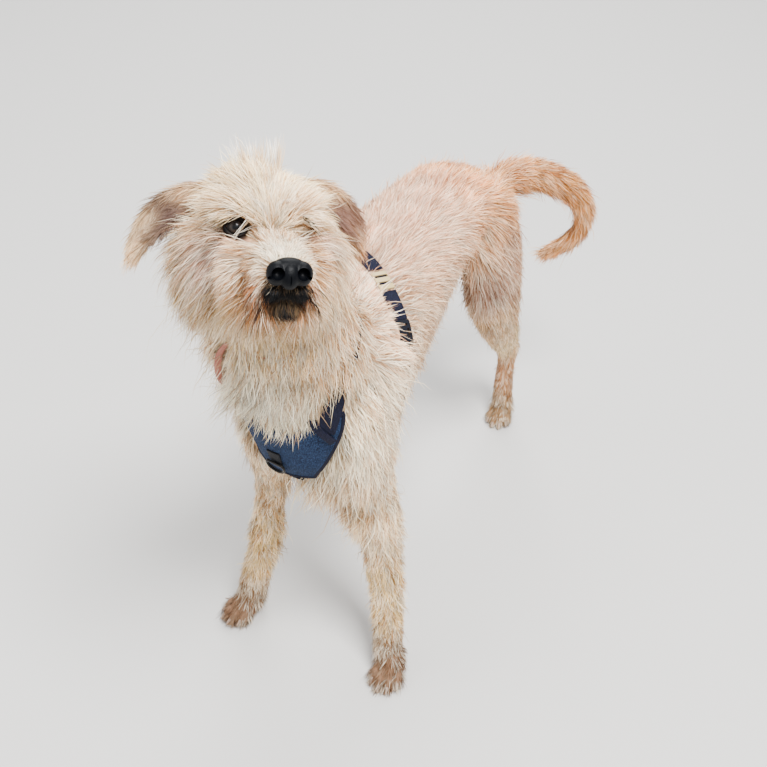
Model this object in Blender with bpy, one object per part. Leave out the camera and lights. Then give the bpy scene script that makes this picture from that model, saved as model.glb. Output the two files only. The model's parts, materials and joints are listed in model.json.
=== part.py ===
"""A rough-coated terrier cross, standing with its head up, in a chest harness and a collar.

The dog faces -Y, its left side is +X, and its paws stand on Z = 0. Every length is in metres.
The flesh is one form out to the tips of the coat, fused from lofts and ellipsoids and then
parted with thin cuts into the parts that a person would name. The eyes, the nose leather, the
ears, the paws and everything worn are solids of their own.
"""

import math

import bmesh
import bpy
import numpy as np
from mathutils import Euler, Matrix, Vector
from mathutils.bvhtree import BVHTree

# ---------------------------------------------------------------- driving dimensions
WITHERS = 0.555          # ground to the top of the coat over the shoulders
CHEST_FRONT = -0.338     # foremost point of the breast
RUMP_END = 0.280         # rearmost point of the buttocks
GAP = 0.0004             # clear space between neighbouring solids
WIDEST = 0.60            # share of the trunk's depth at which it is widest
FUSE = 0.0065            # voxel size that fuses the flesh into one form
FLESH_SHARE = 0.032      # share of the fused form's triangles that is kept
FINE = 0.0021            # voxel size for the paws
PAW_SHARE = 0.015        # share of a fused paw's triangles that is kept

HEAD_AT = Vector((0.036, -0.410, 0.790))      # midway between the eyes
HEAD_TURN = math.radians(40.0)                # towards the dog's left
HEAD_LIFT = math.radians(25.0)                # muzzle up
HEAD_TIP = math.radians(-9.0)                 # the left side of the head sinks

EYE_APART = 0.066
EYE_RADIUS = 0.0105
NOSE_AT = (0.100, 0.0, -0.026)                # ahead, left, up from between the eyes

# ---------------------------------------------------------------- colours of the finishes
FINISHES = {
    "coat_sand": ((0.62, 0.47, 0.33), 0.85, 0.0),
    "coat_tail": ((0.62, 0.36, 0.19), 0.85, 0.0),
    "ear_brown": ((0.27, 0.15, 0.10), 0.85, 0.0),
    "nose_leather": ((0.012, 0.014, 0.018), 0.35, 0.0),
    "eye": ((0.05, 0.03, 0.02), 0.05, 0.0),
    "harness_blue": ((0.06, 0.11, 0.21), 0.8, 0.0),
    "harness_navy": ((0.015, 0.018, 0.04), 0.8, 0.0),
    "slider_tan": ((0.62, 0.50, 0.29), 0.5, 0.0),
    "clip_black": ((0.02, 0.02, 0.025), 0.4, 0.0),
    "ring_metal": ((0.35, 0.33, 0.30), 0.25, 1.0),
    "collar_coral": ((0.55, 0.16, 0.12), 0.7, 0.0),
}


def clear_scene():
    for obj in list(bpy.data.objects):
        bpy.data.objects.remove(obj)


def finish_of(name):
    """The Principled material of one finish, made once."""
    found = bpy.data.materials.get(name)
    if found:
        return found
    colour, roughness, metallic = FINISHES[name]
    material = bpy.data.materials.new(name)
    material.use_nodes = True
    shader = material.node_tree.nodes["Principled BSDF"]
    shader.inputs["Base Color"].default_value = (*colour, 1.0)
    shader.inputs["Roughness"].default_value = roughness
    shader.inputs["Metallic"].default_value = metallic
    material.diffuse_color = (*colour, 1.0)
    return material


def object_from(name, bm, finish=None):
    """A mesh object of a bmesh, which is freed."""
    bmesh.ops.recalc_face_normals(bm, faces=bm.faces)
    mesh = bpy.data.meshes.new(name)
    bm.to_mesh(mesh)
    bm.free()
    obj = bpy.data.objects.new(name, mesh)
    bpy.context.scene.collection.objects.link(obj)
    if finish:
        mesh.materials.append(finish_of(finish))
    return obj


def evaluated_copy(obj, name, finish=None):
    """obj as its modifiers leave it, as a new object without modifiers. obj is removed."""
    graph = bpy.context.evaluated_depsgraph_get()
    mesh = bpy.data.meshes.new_from_object(obj.evaluated_get(graph), depsgraph=graph)
    mesh.transform(obj.matrix_world)
    bpy.data.objects.remove(obj)
    new = bpy.data.objects.new(name, mesh)
    bpy.context.scene.collection.objects.link(new)
    mesh.materials.clear()
    if finish:
        mesh.materials.append(finish_of(finish))
    return new


# ---------------------------------------------------------------- shapes
def smooth_rows(rows, steps):
    """Rows of numbers made finer by a Catmull-Rom curve through them."""
    rows = np.array(rows, float)
    padded = np.vstack([2 * rows[0] - rows[1], rows, 2 * rows[-1] - rows[-2]])
    fine = []
    for i in range(len(rows) - 1):
        a, b, c, d = padded[i:i + 4]
        for t in np.arange(steps) / steps:
            fine.append(0.5 * (2 * b + (c - a) * t + (2 * a - 5 * b + 4 * c - d) * t**2
                               + (3 * b - a - 3 * c + d) * t**3))
    return np.array(fine + [rows[-1]])


def add_loft(bm, stations, side, points=20, steps=3, keel=0.0, square=1.0):
    """A closed tube through stations of (x, y, z, half width, first half height, second).

    The width lies along side. The first height is on the side to which path x width points.
    keel widens the first side and narrows the second by this share, and square below 1 fills
    out the section's corners.
    """
    fine = smooth_rows(stations, steps)
    path, sizes = fine[:, :3], np.maximum(fine[:, 3:6], 0.002)
    rings = []
    for i, centre in enumerate(path):
        run = Vector(path[min(i + 1, len(path) - 1)] - path[max(i - 1, 0)]).normalized()
        wide = (Vector(side) - Vector(side).dot(run) * run).normalized()
        high = run.cross(wide)
        half, up, down = sizes[i]
        ring = []
        for k in range(points):
            turn = 2 * math.pi * k / points
            c, s = math.cos(turn), math.sin(turn)
            across = math.copysign(abs(c) ** square, c) * half * (1 + keel * s)
            along = math.copysign(abs(s) ** square, s) * (up if s > 0 else down)
            ring.append(bm.verts.new(Vector(centre) + wide * across + high * along))
        rings.append(ring)
    for a, b in zip(rings, rings[1:]):
        for k in range(points):
            bm.faces.new((a[k], a[(k + 1) % points], b[(k + 1) % points], b[k]))
    bm.faces.new(rings[0])
    bm.faces.new(rings[-1])


def add_ellipsoid(bm, centre, radii, turn=None, rings=12):
    """An ellipsoid with its radii along X, Y and Z, then turned by the 3x3 matrix turn."""
    matrix = Matrix.Translation(centre) @ (turn or Matrix.Identity(3)).to_4x4() @ Matrix.Diagonal((*radii, 1.0))
    bmesh.ops.create_uvsphere(bm, u_segments=2 * rings, v_segments=rings, radius=1.0, matrix=matrix)


def head_axes():
    """A 3x3 matrix whose columns point ahead, left and up for the head."""
    turn = Matrix.Rotation(HEAD_TURN, 3, "Z")
    ahead = turn @ Vector((0, -math.cos(HEAD_LIFT), math.sin(HEAD_LIFT)))
    left = turn @ Vector((1, 0, 0))
    tip = Matrix.Rotation(HEAD_TIP, 3, ahead)
    left = tip @ left
    return Matrix((ahead, left, ahead.cross(left))).transposed()


HEAD = head_axes()


def on_head(ahead, left, up):
    """A point given ahead, left and up from between the eyes."""
    return HEAD_AT + HEAD @ Vector((ahead, left, up))


def head_stations(rows):
    """Stations (ahead, left, up, half width, two half heights) in the head's own frame."""
    return [(*on_head(*row[:3]), *row[3:]) for row in rows]


# ---------------------------------------------------------------- the flesh, out to the coat's tips
# Trunk, which bows a little to the right: (middle, y, top of the coat, bottom, half width)
TRUNK = (
    (-0.004, CHEST_FRONT, 0.435, 0.375, 0.020),
    (-0.006, -0.318, 0.480, 0.330, 0.068),
    (-0.008, -0.270, 0.525, 0.290, 0.094),
    (-0.010, -0.200, WITHERS, 0.270, 0.100),
    (-0.018, -0.110, 0.556, 0.266, 0.096),
    (-0.024, -0.020, 0.552, 0.290, 0.094),
    (-0.022, 0.060, 0.548, 0.336, 0.088),
    (-0.015, 0.125, 0.545, 0.368, 0.080),
    (-0.006, 0.185, 0.538, 0.374, 0.082),
    (0.000, 0.235, 0.517, 0.376, 0.078),
    (0.002, 0.262, 0.490, 0.392, 0.056),
    (0.002, RUMP_END, 0.460, 0.420, 0.022),
)
# Neck, from inside the chest to inside the skull: (x, y, z, half width, towards the nape, towards the throat)
NECK = (
    (-0.006, -0.190, 0.450, 0.082, 0.085, 0.110),
    (-0.014, -0.250, 0.520, 0.088, 0.080, 0.100),
    (-0.016, -0.295, 0.600, 0.084, 0.066, 0.088),
    (-0.010, -0.322, 0.680, 0.076, 0.056, 0.082),
    (0.002, -0.345, 0.750, 0.066, 0.050, 0.072),
)
# Tail: (x, y, z, half thickness) along its length
TAIL = (
    (0.010, 0.225, 0.470, 0.030),
    (0.034, 0.266, 0.480, 0.026),
    (0.059, 0.303, 0.483, 0.025),
    (0.089, 0.332, 0.474, 0.026),
    (0.125, 0.352, 0.454, 0.027),
    (0.152, 0.357, 0.418, 0.028),
    (0.153, 0.354, 0.378, 0.027),
    (0.126, 0.347, 0.346, 0.022),
    (0.090, 0.338, 0.324, 0.012),
    (0.074, 0.334, 0.316, 0.004),
)
# Forelegs, from the shoulder down: (x, y, z, half width, in front, behind)
FORELEG_LEFT = (
    (0.062, -0.200, 0.500, 0.026, 0.045, 0.045),
    (0.062, -0.235, 0.430, 0.034, 0.056, 0.056),
    (0.064, -0.245, 0.360, 0.037, 0.048, 0.050),
    (0.069, -0.242, 0.300, 0.035, 0.034, 0.040),
    (0.080, -0.242, 0.240, 0.029, 0.027, 0.032),
    (0.092, -0.247, 0.180, 0.023, 0.024, 0.026),
    (0.102, -0.254, 0.120, 0.021, 0.022, 0.022),
    (0.109, -0.264, 0.075, 0.022, 0.022, 0.021),
    (0.113, -0.272, 0.045, 0.024, 0.024, 0.022),
)
FORELEG_RIGHT = (
    (-0.062, -0.200, 0.500, 0.026, 0.045, 0.045),
    (-0.076, -0.232, 0.430, 0.036, 0.056, 0.056),
    (-0.083, -0.238, 0.360, 0.036, 0.048, 0.050),
    (-0.085, -0.230, 0.300, 0.031, 0.034, 0.040),
    (-0.086, -0.230, 0.240, 0.026, 0.027, 0.036),
    (-0.090, -0.236, 0.180, 0.023, 0.023, 0.027),
    (-0.096, -0.244, 0.120, 0.021, 0.022, 0.022),
    (-0.103, -0.256, 0.075, 0.022, 0.022, 0.021),
    (-0.108, -0.264, 0.045, 0.024, 0.024, 0.022),
)
# Hind legs, from the hip down: (x, y, z, half width, in front, behind)
HINDLEG_LEFT = (
    (0.040, 0.200, 0.510, 0.030, 0.060, 0.060),
    (0.062, 0.195, 0.440, 0.040, 0.085, 0.085),
    (0.076, 0.190, 0.370, 0.042, 0.078, 0.078),
    (0.082, 0.200, 0.310, 0.038, 0.062, 0.060),
    (0.082, 0.232, 0.250, 0.032, 0.046, 0.044),
    (0.080, 0.274, 0.190, 0.025, 0.034, 0.036),
    (0.078, 0.306, 0.145, 0.021, 0.026, 0.030),
    (0.076, 0.312, 0.105, 0.019, 0.022, 0.022),
    (0.074, 0.308, 0.065, 0.020, 0.021, 0.021),
    (0.073, 0.302, 0.040, 0.022, 0.022, 0.022),
)
HINDLEG_RIGHT = (
    (-0.040, 0.195, 0.510, 0.030, 0.060, 0.060),
    (-0.060, 0.175, 0.440, 0.040, 0.085, 0.085),
    (-0.074, 0.142, 0.375, 0.040, 0.078, 0.078),
    (-0.080, 0.118, 0.312, 0.037, 0.058, 0.058),
    (-0.082, 0.132, 0.250, 0.030, 0.042, 0.042),
    (-0.084, 0.165, 0.190, 0.024, 0.032, 0.034),
    (-0.086, 0.192, 0.145, 0.021, 0.026, 0.029),
    (-0.087, 0.186, 0.105, 0.019, 0.022, 0.022),
    (-0.088, 0.166, 0.065, 0.020, 0.021, 0.021),
    (-0.089, 0.152, 0.040, 0.022, 0.022, 0.022),
)
# Muzzle in the head's frame: (ahead, left, up, half width, above, below)
MUZZLE = (
    (-0.040, 0.0, -0.020, 0.056, 0.050, 0.062),
    (0.005, 0.0, -0.024, 0.050, 0.034, 0.062),
    (0.045, 0.0, -0.028, 0.045, 0.022, 0.062),
    (0.078, 0.0, -0.030, 0.042, 0.019, 0.058),
    (0.096, 0.0, -0.034, 0.030, 0.014, 0.044),
)


def flesh_form():
    """The whole body without ears, paws, eyes and nose leather, as one closed mesh."""
    bm = bmesh.new()
    trunk = []
    for middle, y, top, low, half in TRUNK:
        deep = top - low
        trunk.append((middle, y, low + WIDEST * deep, half, WIDEST * deep, (1 - WIDEST) * deep))
    add_loft(bm, trunk, (1, 0, 0), keel=-0.20, square=0.94, points=28)
    add_loft(bm, NECK, (1, 0, 0))
    add_loft(bm, [(x, y, z, r, r, r) for x, y, z, r in TAIL], (0, 0, 1), points=14)
    for leg in (FORELEG_LEFT, FORELEG_RIGHT, HINDLEG_LEFT, HINDLEG_RIGHT):
        add_loft(bm, leg, (1, 0, 0), points=18)
    add_ellipsoid(bm, on_head(-0.060, 0, 0.006), (0.088, 0.068, 0.060), HEAD)
    add_loft(bm, head_stations(MUZZLE), HEAD.col[1])
    for side in (-1, 1):
        add_ellipsoid(bm, on_head(-0.038, 0.042 * side, -0.040), (0.058, 0.040, 0.052), HEAD)
        add_ellipsoid(bm, on_head(-0.004, 0.030 * side, 0.020), (0.028, 0.026, 0.019), HEAD)
    add_ellipsoid(bm, on_head(0.040, 0, -0.076), (0.044, 0.042, 0.038), HEAD)
    add_ellipsoid(bm, on_head(-0.030, 0, -0.100), (0.060, 0.052, 0.056), HEAD)
    add_ellipsoid(bm, on_head(-0.050, -0.006, 0.046), (0.036, 0.034, 0.028), HEAD)
    add_ellipsoid(bm, on_head(-0.050, -0.044, -0.066), (0.056, 0.046, 0.066), HEAD)
    form = object_from("flesh", bm)
    remesh = form.modifiers.new("fuse", "REMESH")
    remesh.mode = "VOXEL"
    remesh.voxel_size = FUSE
    smooth = form.modifiers.new("soften", "SMOOTH")
    smooth.factor = 0.5
    smooth.iterations = 7
    thin = form.modifiers.new("thin", "DECIMATE")
    thin.ratio = FLESH_SHARE
    return evaluated_copy(form, "flesh")


# Ears in the head's frame, from root to tip: (ahead, left, up, half width, half thickness twice)
EAR_LEFT = (
    (-0.066, 0.048, 0.030, 0.020, 0.010, 0.010),
    (-0.070, 0.074, 0.024, 0.020, 0.008, 0.008),
    (-0.068, 0.094, 0.008, 0.020, 0.007, 0.007),
    (-0.062, 0.103, -0.012, 0.015, 0.006, 0.006),
    (-0.060, 0.105, -0.031, 0.005, 0.003, 0.003),
)
EAR_RIGHT = (
    (-0.060, -0.050, 0.022, 0.019, 0.010, 0.010),
    (-0.057, -0.080, 0.020, 0.020, 0.008, 0.008),
    (-0.052, -0.105, 0.004, 0.022, 0.007, 0.007),
    (-0.046, -0.119, -0.018, 0.017, 0.006, 0.006),
    (-0.042, -0.126, -0.040, 0.005, 0.003, 0.003),
)
EAR_FACE = (0.5, 0.0, -0.85)      # the way in which an ear is wide, in the head's frame


def ear(name, rows):
    bm = bmesh.new()
    add_loft(bm, head_stations(rows), HEAD @ Vector(EAR_FACE), points=10, steps=2)
    return object_from(name, bm, "ear_brown")


# ---------------------------------------------------------------- cutting
PASTERN = 0.054          # height at which a paw meets its leg
REACH = 2.0              # half side of the block that a region is cut from


def region(planes, grow=0.0):
    """A closed block bounded by planes of (point, normal into the block), grown by a distance."""
    bm = bmesh.new()
    bmesh.ops.create_cube(bm, size=2 * REACH)
    for point, normal in planes:
        inward = Vector(normal).normalized()
        everything = bm.verts[:] + bm.edges[:] + bm.faces[:]
        cut = bmesh.ops.bisect_plane(bm, geom=everything, plane_co=Vector(point) - inward * grow,
                                     plane_no=inward, clear_inner=True)
        rim = [e for e in cut["geom_cut"] if isinstance(e, bmesh.types.BMEdge)]
        bmesh.ops.contextual_create(bm, geom=rim)
    return object_from("region", bm)


def combined(name, base, other, operation, finish=None):
    """base with other joined, cut away or shared. Both are used up."""
    boolean = base.modifiers.new("boolean", "BOOLEAN")
    boolean.operation = operation
    boolean.solver = "EXACT"
    boolean.object = other
    result = evaluated_copy(base, name, finish)
    bpy.data.objects.remove(other)
    return result


def copied(obj):
    new = bpy.data.objects.new("copy", obj.data.copy())
    bpy.context.scene.collection.objects.link(new)
    return new


def keep_largest(obj):
    """Drops the slivers that a cut leaves beside the main body of obj."""
    bm = bmesh.new()
    bm.from_mesh(obj.data)
    bodies, seen = [], set()
    for seed in bm.verts:
        if seed in seen:
            continue
        body, edge = {seed}, [seed]
        while edge:
            near = {e.other_vert(v) for v in edge for e in v.link_edges} - body
            body |= near
            edge = list(near)
        seen |= body
        bodies.append(body)
    bodies.sort(key=len)
    for body in bodies[:-1]:
        bmesh.ops.delete(bm, geom=list(body), context="VERTS")
    bm.to_mesh(obj.data)
    bm.free()


def part_off(rest, name, planes, finish="coat_sand"):
    """Cuts the part of rest inside planes off as an object of its own, and returns what is left."""
    keep_largest(combined(name, copied(rest), region(planes), "INTERSECT", finish))
    return combined("flesh", rest, region(planes, GAP), "DIFFERENCE", "coat_sand")


def part_all(rest):
    """The named parts of the flesh."""
    ahead, left, up = HEAD.col
    jaw_line = (on_head(0, 0, -0.055), -up)
    rest = part_off(rest, "lower_jaw", [jaw_line, (on_head(0.002, 0, 0), ahead)])
    rest = part_off(rest, "muzzle", [(on_head(0.026, 0, 0), ahead)])
    nape = ((0, -0.330, 0.705), (0, -0.55, 0.83))
    rest = part_off(rest, "head", [nape])
    rest = part_off(rest, "neck", [((0, -0.250, 0.518), (0, -0.577, 0.817))])

    tail = [((0.045, 0.290, 0.482), (0.35, 0.93, 0.10)), ((0, 0, 0.300), (0, 0, 1))]
    rest = part_off(rest, "tail_tip", tail + [((0, 0, 0.400), (0, 0, -1))], "coat_tail")
    rest = part_off(rest, "tail_middle", tail + [((0.100, 0, 0), (1, 0, 0))], "coat_tail")
    rest = part_off(rest, "tail_base", tail, "coat_tail")

    floor = (0, 0, PASTERN)
    rest = combined("flesh", rest, region([(floor, (0, 0, -1))]), "DIFFERENCE", "coat_sand")
    for name, side, hind in (("left", 1, 0.120), ("right", -1, 0.020)):
        out = ((0.020 * side, 0, 0), (side, 0, 0))
        fore = ((0, -0.130, 0), (0, -1, 0))
        back = ((0, hind, 0), (0, 1, 0))
        rest = part_off(rest, "forearm_" + name, [out, fore, ((0, 0, 0.255), (0, 0, -1))])
        shoulder = ((0.038 * side, 0, 0.256), (0.94 * side, 0, -0.34))
        rest = part_off(rest, "upper_arm_" + name,
                        [shoulder, out, ((0, -0.175, 0), (0, -1, 0)), ((0, 0, 0.440), (0, 0, -1))])
        rest = part_off(rest, "metatarsus_" + name, [out, back, ((0, 0, 0.138), (0, 0, -1))])
        rest = part_off(rest, "shank_" + name, [out, back, ((0, 0, 0.285), (0, 0, -1))])
        rest = part_off(rest, "thigh_" + name,
                        [((0.034 * side, 0, 0.350), (0.90 * side, 0, -0.44)),
                         out, back, ((0, 0, 0.500), (0, 0, -1))])

    rest = part_off(rest, "chest", [((0, -0.105, 0), (0, -1, 0))])
    rest = part_off(rest, "barrel", [((0, 0.035, 0), (0, -1, 0))])
    rest = part_off(rest, "loin", [((0, 0.150, 0), (0, -1, 0))])
    rest.name = "rump"


# ---------------------------------------------------------------- paws
# (x, y, heading in degrees from straight ahead towards the left, scale) with the toes ahead
PAWS = {
    "paw_fore_left": (0.122, -0.280, 8.0, 1.0, FORELEG_LEFT),
    "paw_fore_right": (-0.113, -0.270, -24.0, 1.0, FORELEG_RIGHT),
    "paw_hind_left": (0.073, 0.300, 6.0, 0.93, HINDLEG_LEFT),
    "paw_hind_right": (-0.089, 0.150, -8.0, 0.93, HINDLEG_RIGHT),
}
# Toes of a paw: (sideways, ahead, how far each splays in degrees)
TOES = ((-0.0205, 0.013, -7.0), (-0.0078, 0.022, -2.0), (0.0078, 0.022, 2.0), (0.0205, 0.013, 7.0))


def paw(name, x, y, heading, scale, leg):
    """A paw flat on the floor, with four toes and their claws."""
    bm = bmesh.new()
    place = Matrix.Translation((x, y, 0)) @ Matrix.Rotation(math.radians(heading), 4, "Z") @ Matrix.Scale(scale, 4)

    def lump(centre, radii, splay=0.0, dip=0.0):
        turn = Euler((math.radians(dip), 0, math.radians(splay))).to_matrix().to_4x4()
        matrix = place @ Matrix.Translation(centre) @ turn @ Matrix.Diagonal((*radii, 1.0))
        bmesh.ops.create_uvsphere(bm, u_segments=20, v_segments=10, radius=1.0, matrix=matrix)

    lump((0, 0.006, 0.026), (0.0235, 0.028, 0.024))
    lump((0, 0.000, 0.012), (0.0215, 0.026, 0.015))
    for across, ahead, splay in TOES:
        lump((across * 0.80, -ahead + 0.012, 0.022), (0.0100, 0.019, 0.014), splay, 18.0)
        lump((across, -ahead - 0.004, 0.0125), (0.0098, 0.0150, 0.0138), splay)
        tip = Vector((across + math.sin(math.radians(splay)) * 0.018, -ahead - 0.020, 0.0085))
        lump(tip, (0.0034, 0.0088, 0.0040), splay, 22.0)
    add_loft(bm, leg[-3:], (1, 0, 0), points=18)
    form = object_from(name, bm)
    remesh = form.modifiers.new("fuse", "REMESH")
    remesh.mode = "VOXEL"
    remesh.voxel_size = FINE
    smooth = form.modifiers.new("soften", "SMOOTH")
    smooth.factor = 0.5
    smooth.iterations = 2
    thin = form.modifiers.new("thin", "DECIMATE")
    thin.ratio = PAW_SHARE
    form = evaluated_copy(form, name)
    limits = [((0, 0, 0), (0, 0, 1)), ((0, 0, PASTERN - GAP), (0, 0, -1))]
    return combined(name, form, region(limits), "INTERSECT", "coat_sand")


# ---------------------------------------------------------------- what lies on the body
def closed_slab(name, inner, outer, wrap, finish=None):
    """A closed solid between two equal grids of points. wrap joins the last row to the first."""
    bm = bmesh.new()
    inside = [[bm.verts.new(p) for p in row] for row in inner]
    outside = [[bm.verts.new(p) for p in row] for row in outer]
    rows, columns = len(inner), len(inner[0])
    for r in range(rows if wrap else rows - 1):
        n = (r + 1) % rows
        for c in range(columns - 1):
            for grid, way in ((inside, 1), (outside, -1)):
                a, b, c2, d = grid[r][c], grid[n][c], grid[n][c + 1], grid[r][c + 1]
                bm.faces.new((a, b, c2)[::way])
                bm.faces.new((a, c2, d)[::way])
        bm.faces.new((inside[r][0], outside[r][0], outside[n][0], inside[n][0]))
        bm.faces.new((inside[r][-1], inside[n][-1], outside[n][-1], outside[r][-1]))
    if not wrap:
        for r in (0, rows - 1):
            for c in range(columns - 1):
                bm.faces.new((inside[r][c], inside[r][c + 1], outside[r][c + 1], outside[r][c]))
    return object_from(name, bm, finish)


class Wrap:
    """Lays bands and panels into grooves in the flesh."""

    def __init__(self, flesh):
        self.flesh = flesh
        bm = bmesh.new()
        bm.from_mesh(flesh.data)
        self.tree = BVHTree.FromBMesh(bm)
        bm.free()

    def hit(self, start, aim):
        """Where a line from start towards aim meets the flesh, and its direction."""
        run = (Vector(aim) - Vector(start)).normalized()
        return self.tree.ray_cast(Vector(start), run)[0], run

    def lay(self, name, rows, wrap, finish, sink, thick):
        """Lays a slab over rows of (start, aim) lines, its outside sink below the coat's tips."""
        starts = np.array([[tuple(line[0]) for line in row] for row in rows])
        spots = np.array([[tuple(self.hit(*line)[0]) for line in row] for row in rows])
        reach = np.linalg.norm(spots - starts, axis=2)
        runs = (spots - starts) / reach[:, :, None]
        for _ in range(EVEN):
            ends = [reach[-1:], reach[:1]] if wrap else [reach[:1], reach[-1:]]
            tall = np.concatenate([ends[0], reach, ends[1]])
            reach = (tall[:-2] + 2 * tall[1:-1] + tall[2:]) / 4
            wide = np.concatenate([reach[:, :1], reach, reach[:, -1:]], axis=1)
            reach = (wide[:, :-2] + 2 * wide[:, 1:-1] + wide[:, 2:]) / 4

        def grid(depth):
            points = starts + runs * (reach + depth)[:, :, None]
            return [[Vector(p) for p in row] for row in points]
        slab = closed_slab(name, grid(sink + thick), grid(sink), wrap, finish)
        groove = closed_slab("groove", grid(sink + thick + GAP), grid(-OPEN), wrap)
        widen = groove.modifiers.new("widen", "DISPLACE")
        widen.strength = GAP
        widen.mid_level = 0.0
        self.flesh = combined("flesh", self.flesh, evaluated_copy(groove, "groove"), "DIFFERENCE")
        return slab

    def bed(self, obj, opening=None):
        """Sinks obj into the flesh with the gap around it, and opens the coat over it."""
        grown = copied(obj)
        widen = grown.modifiers.new("widen", "DISPLACE")
        widen.strength = GAP
        widen.mid_level = 0.0
        self.flesh = combined("flesh", self.flesh, evaluated_copy(grown, "grown"), "DIFFERENCE")
        if opening:
            self.flesh = combined("flesh", self.flesh, opening, "DIFFERENCE")

    def loop(self, name, centre, normal, width, finish, sink, thick, turn=(0, 360), steps=40):
        """A band in the plane through centre across normal, over the angles of turn.

        Angles run from straight up round the dog's left side.
        """
        normal = Vector(normal).normalized()
        across = Vector((1, 0, 0)) - normal * normal.x
        across.normalize()
        rise = normal.cross(across)
        if rise.z < 0:
            rise = -rise
        centre = Vector(centre)
        whole = turn[1] - turn[0] >= 360
        rows = []
        for k in range(steps if whole else steps + 1):
            angle = math.radians(turn[0] + (turn[1] - turn[0]) * k / steps)
            spoke = across * math.sin(angle) + rise * math.cos(angle)
            sides = [centre + normal * (width / 2 * s) for s in (-1, 1)]
            rows.append([(side + spoke * 0.30, side) for side in sides])
        return self.lay(name, rows, whole, finish, sink, thick)


OPEN = 0.030             # how far a groove's cutter stands out of the coat
SINK = 0.008             # how far a strap's outside lies below the coat's tips
STRAP = 0.0025           # thickness of a strap
EVEN = 2                 # times that the depth of a band is evened out along itself
GIRTH_AT = (-0.018, -0.112, 0.430)
GIRTH_SLANT = 34.0       # degrees that each half of the girth runs forward from the back
GIRTH_DROP = 8.0         # degrees that its lower end leads
COLLAR = ((-0.016, -0.302, 0.612), (0.0, -0.42, 0.907))
NECK_STRAP = ((0.043, -0.322, 0.455), (0.060, -0.300, 0.552), (-0.032, -0.120, 0.550))
PLATE_AT = (-0.048, -0.080)  # middle of the back plate
NECK_LEAN = -0.014       # middle of the harness, to the dog's left

PANEL_AXIS = (-0.010, -0.215)
# Top and bottom edges of the chest panel: (degrees round from ahead, height) at each side
PANEL = ((-50.0, 0.452, 35.0, 0.482), (-52.0, 0.420, 33.0, 0.455), (-50.0, 0.385, 29.0, 0.420),
         (-36.0, 0.352, 20.0, 0.388))
RING_AT = (-6.0, 0.392)
RING_RADIUS = 0.0125
RING_WIRE = 0.0016
RING_CLEAR = 0.0030      # between the ring and the panel


def round_chest(degrees, height):
    """A line that aims at the chest from around it."""
    x, y = PANEL_AXIS
    turn = math.radians(degrees)
    return (x + math.sin(turn) * 0.4, y - math.cos(turn) * 0.4, height), (x, y, height)


def chest_panel(wrap):
    """The shield on the breast, with its ring and the tab that holds the ring."""
    rows = []
    for left, left_height, right, right_height in PANEL:
        row = []
        for k in range(8):
            share = k / 7
            sag = -0.010 * math.sin(math.pi * share)
            row.append(round_chest(left + (right - left) * share,
                                   left_height + (right_height - left_height) * share + sag))
        rows.append(row)
    wrap.lay("chest_panel", rows, False, "harness_blue", SINK - 0.002, 0.004)

    spot, run = wrap.hit(*round_chest(*RING_AT))
    face = spot + run * (SINK - 0.002)
    side = Vector((0, 0, 1)).cross(-run).normalized()
    frame = Matrix((side, -run.cross(side), -run)).transposed()
    bm = bmesh.new()
    around, wires = 16, 5
    centre = face - run * (RING_WIRE + RING_CLEAR)
    rings = []
    for k in range(around):
        turn = 2 * math.pi * k / around
        ring = []
        for w in range(wires):
            tilt = 2 * math.pi * w / wires
            reach = RING_RADIUS + RING_WIRE * math.cos(tilt)
            local = Vector((math.cos(turn) * reach, math.sin(turn) * reach * 0.72, RING_WIRE * math.sin(tilt)))
            ring.append(bm.verts.new(centre + frame @ local))
        rings.append(ring)
    for k in range(around):
        for w in range(wires):
            bm.faces.new((rings[k][w], rings[(k + 1) % around][w],
                          rings[(k + 1) % around][(w + 1) % wires], rings[k][(w + 1) % wires]))
    return object_from("ring", bm, "ring_metal")


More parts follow.
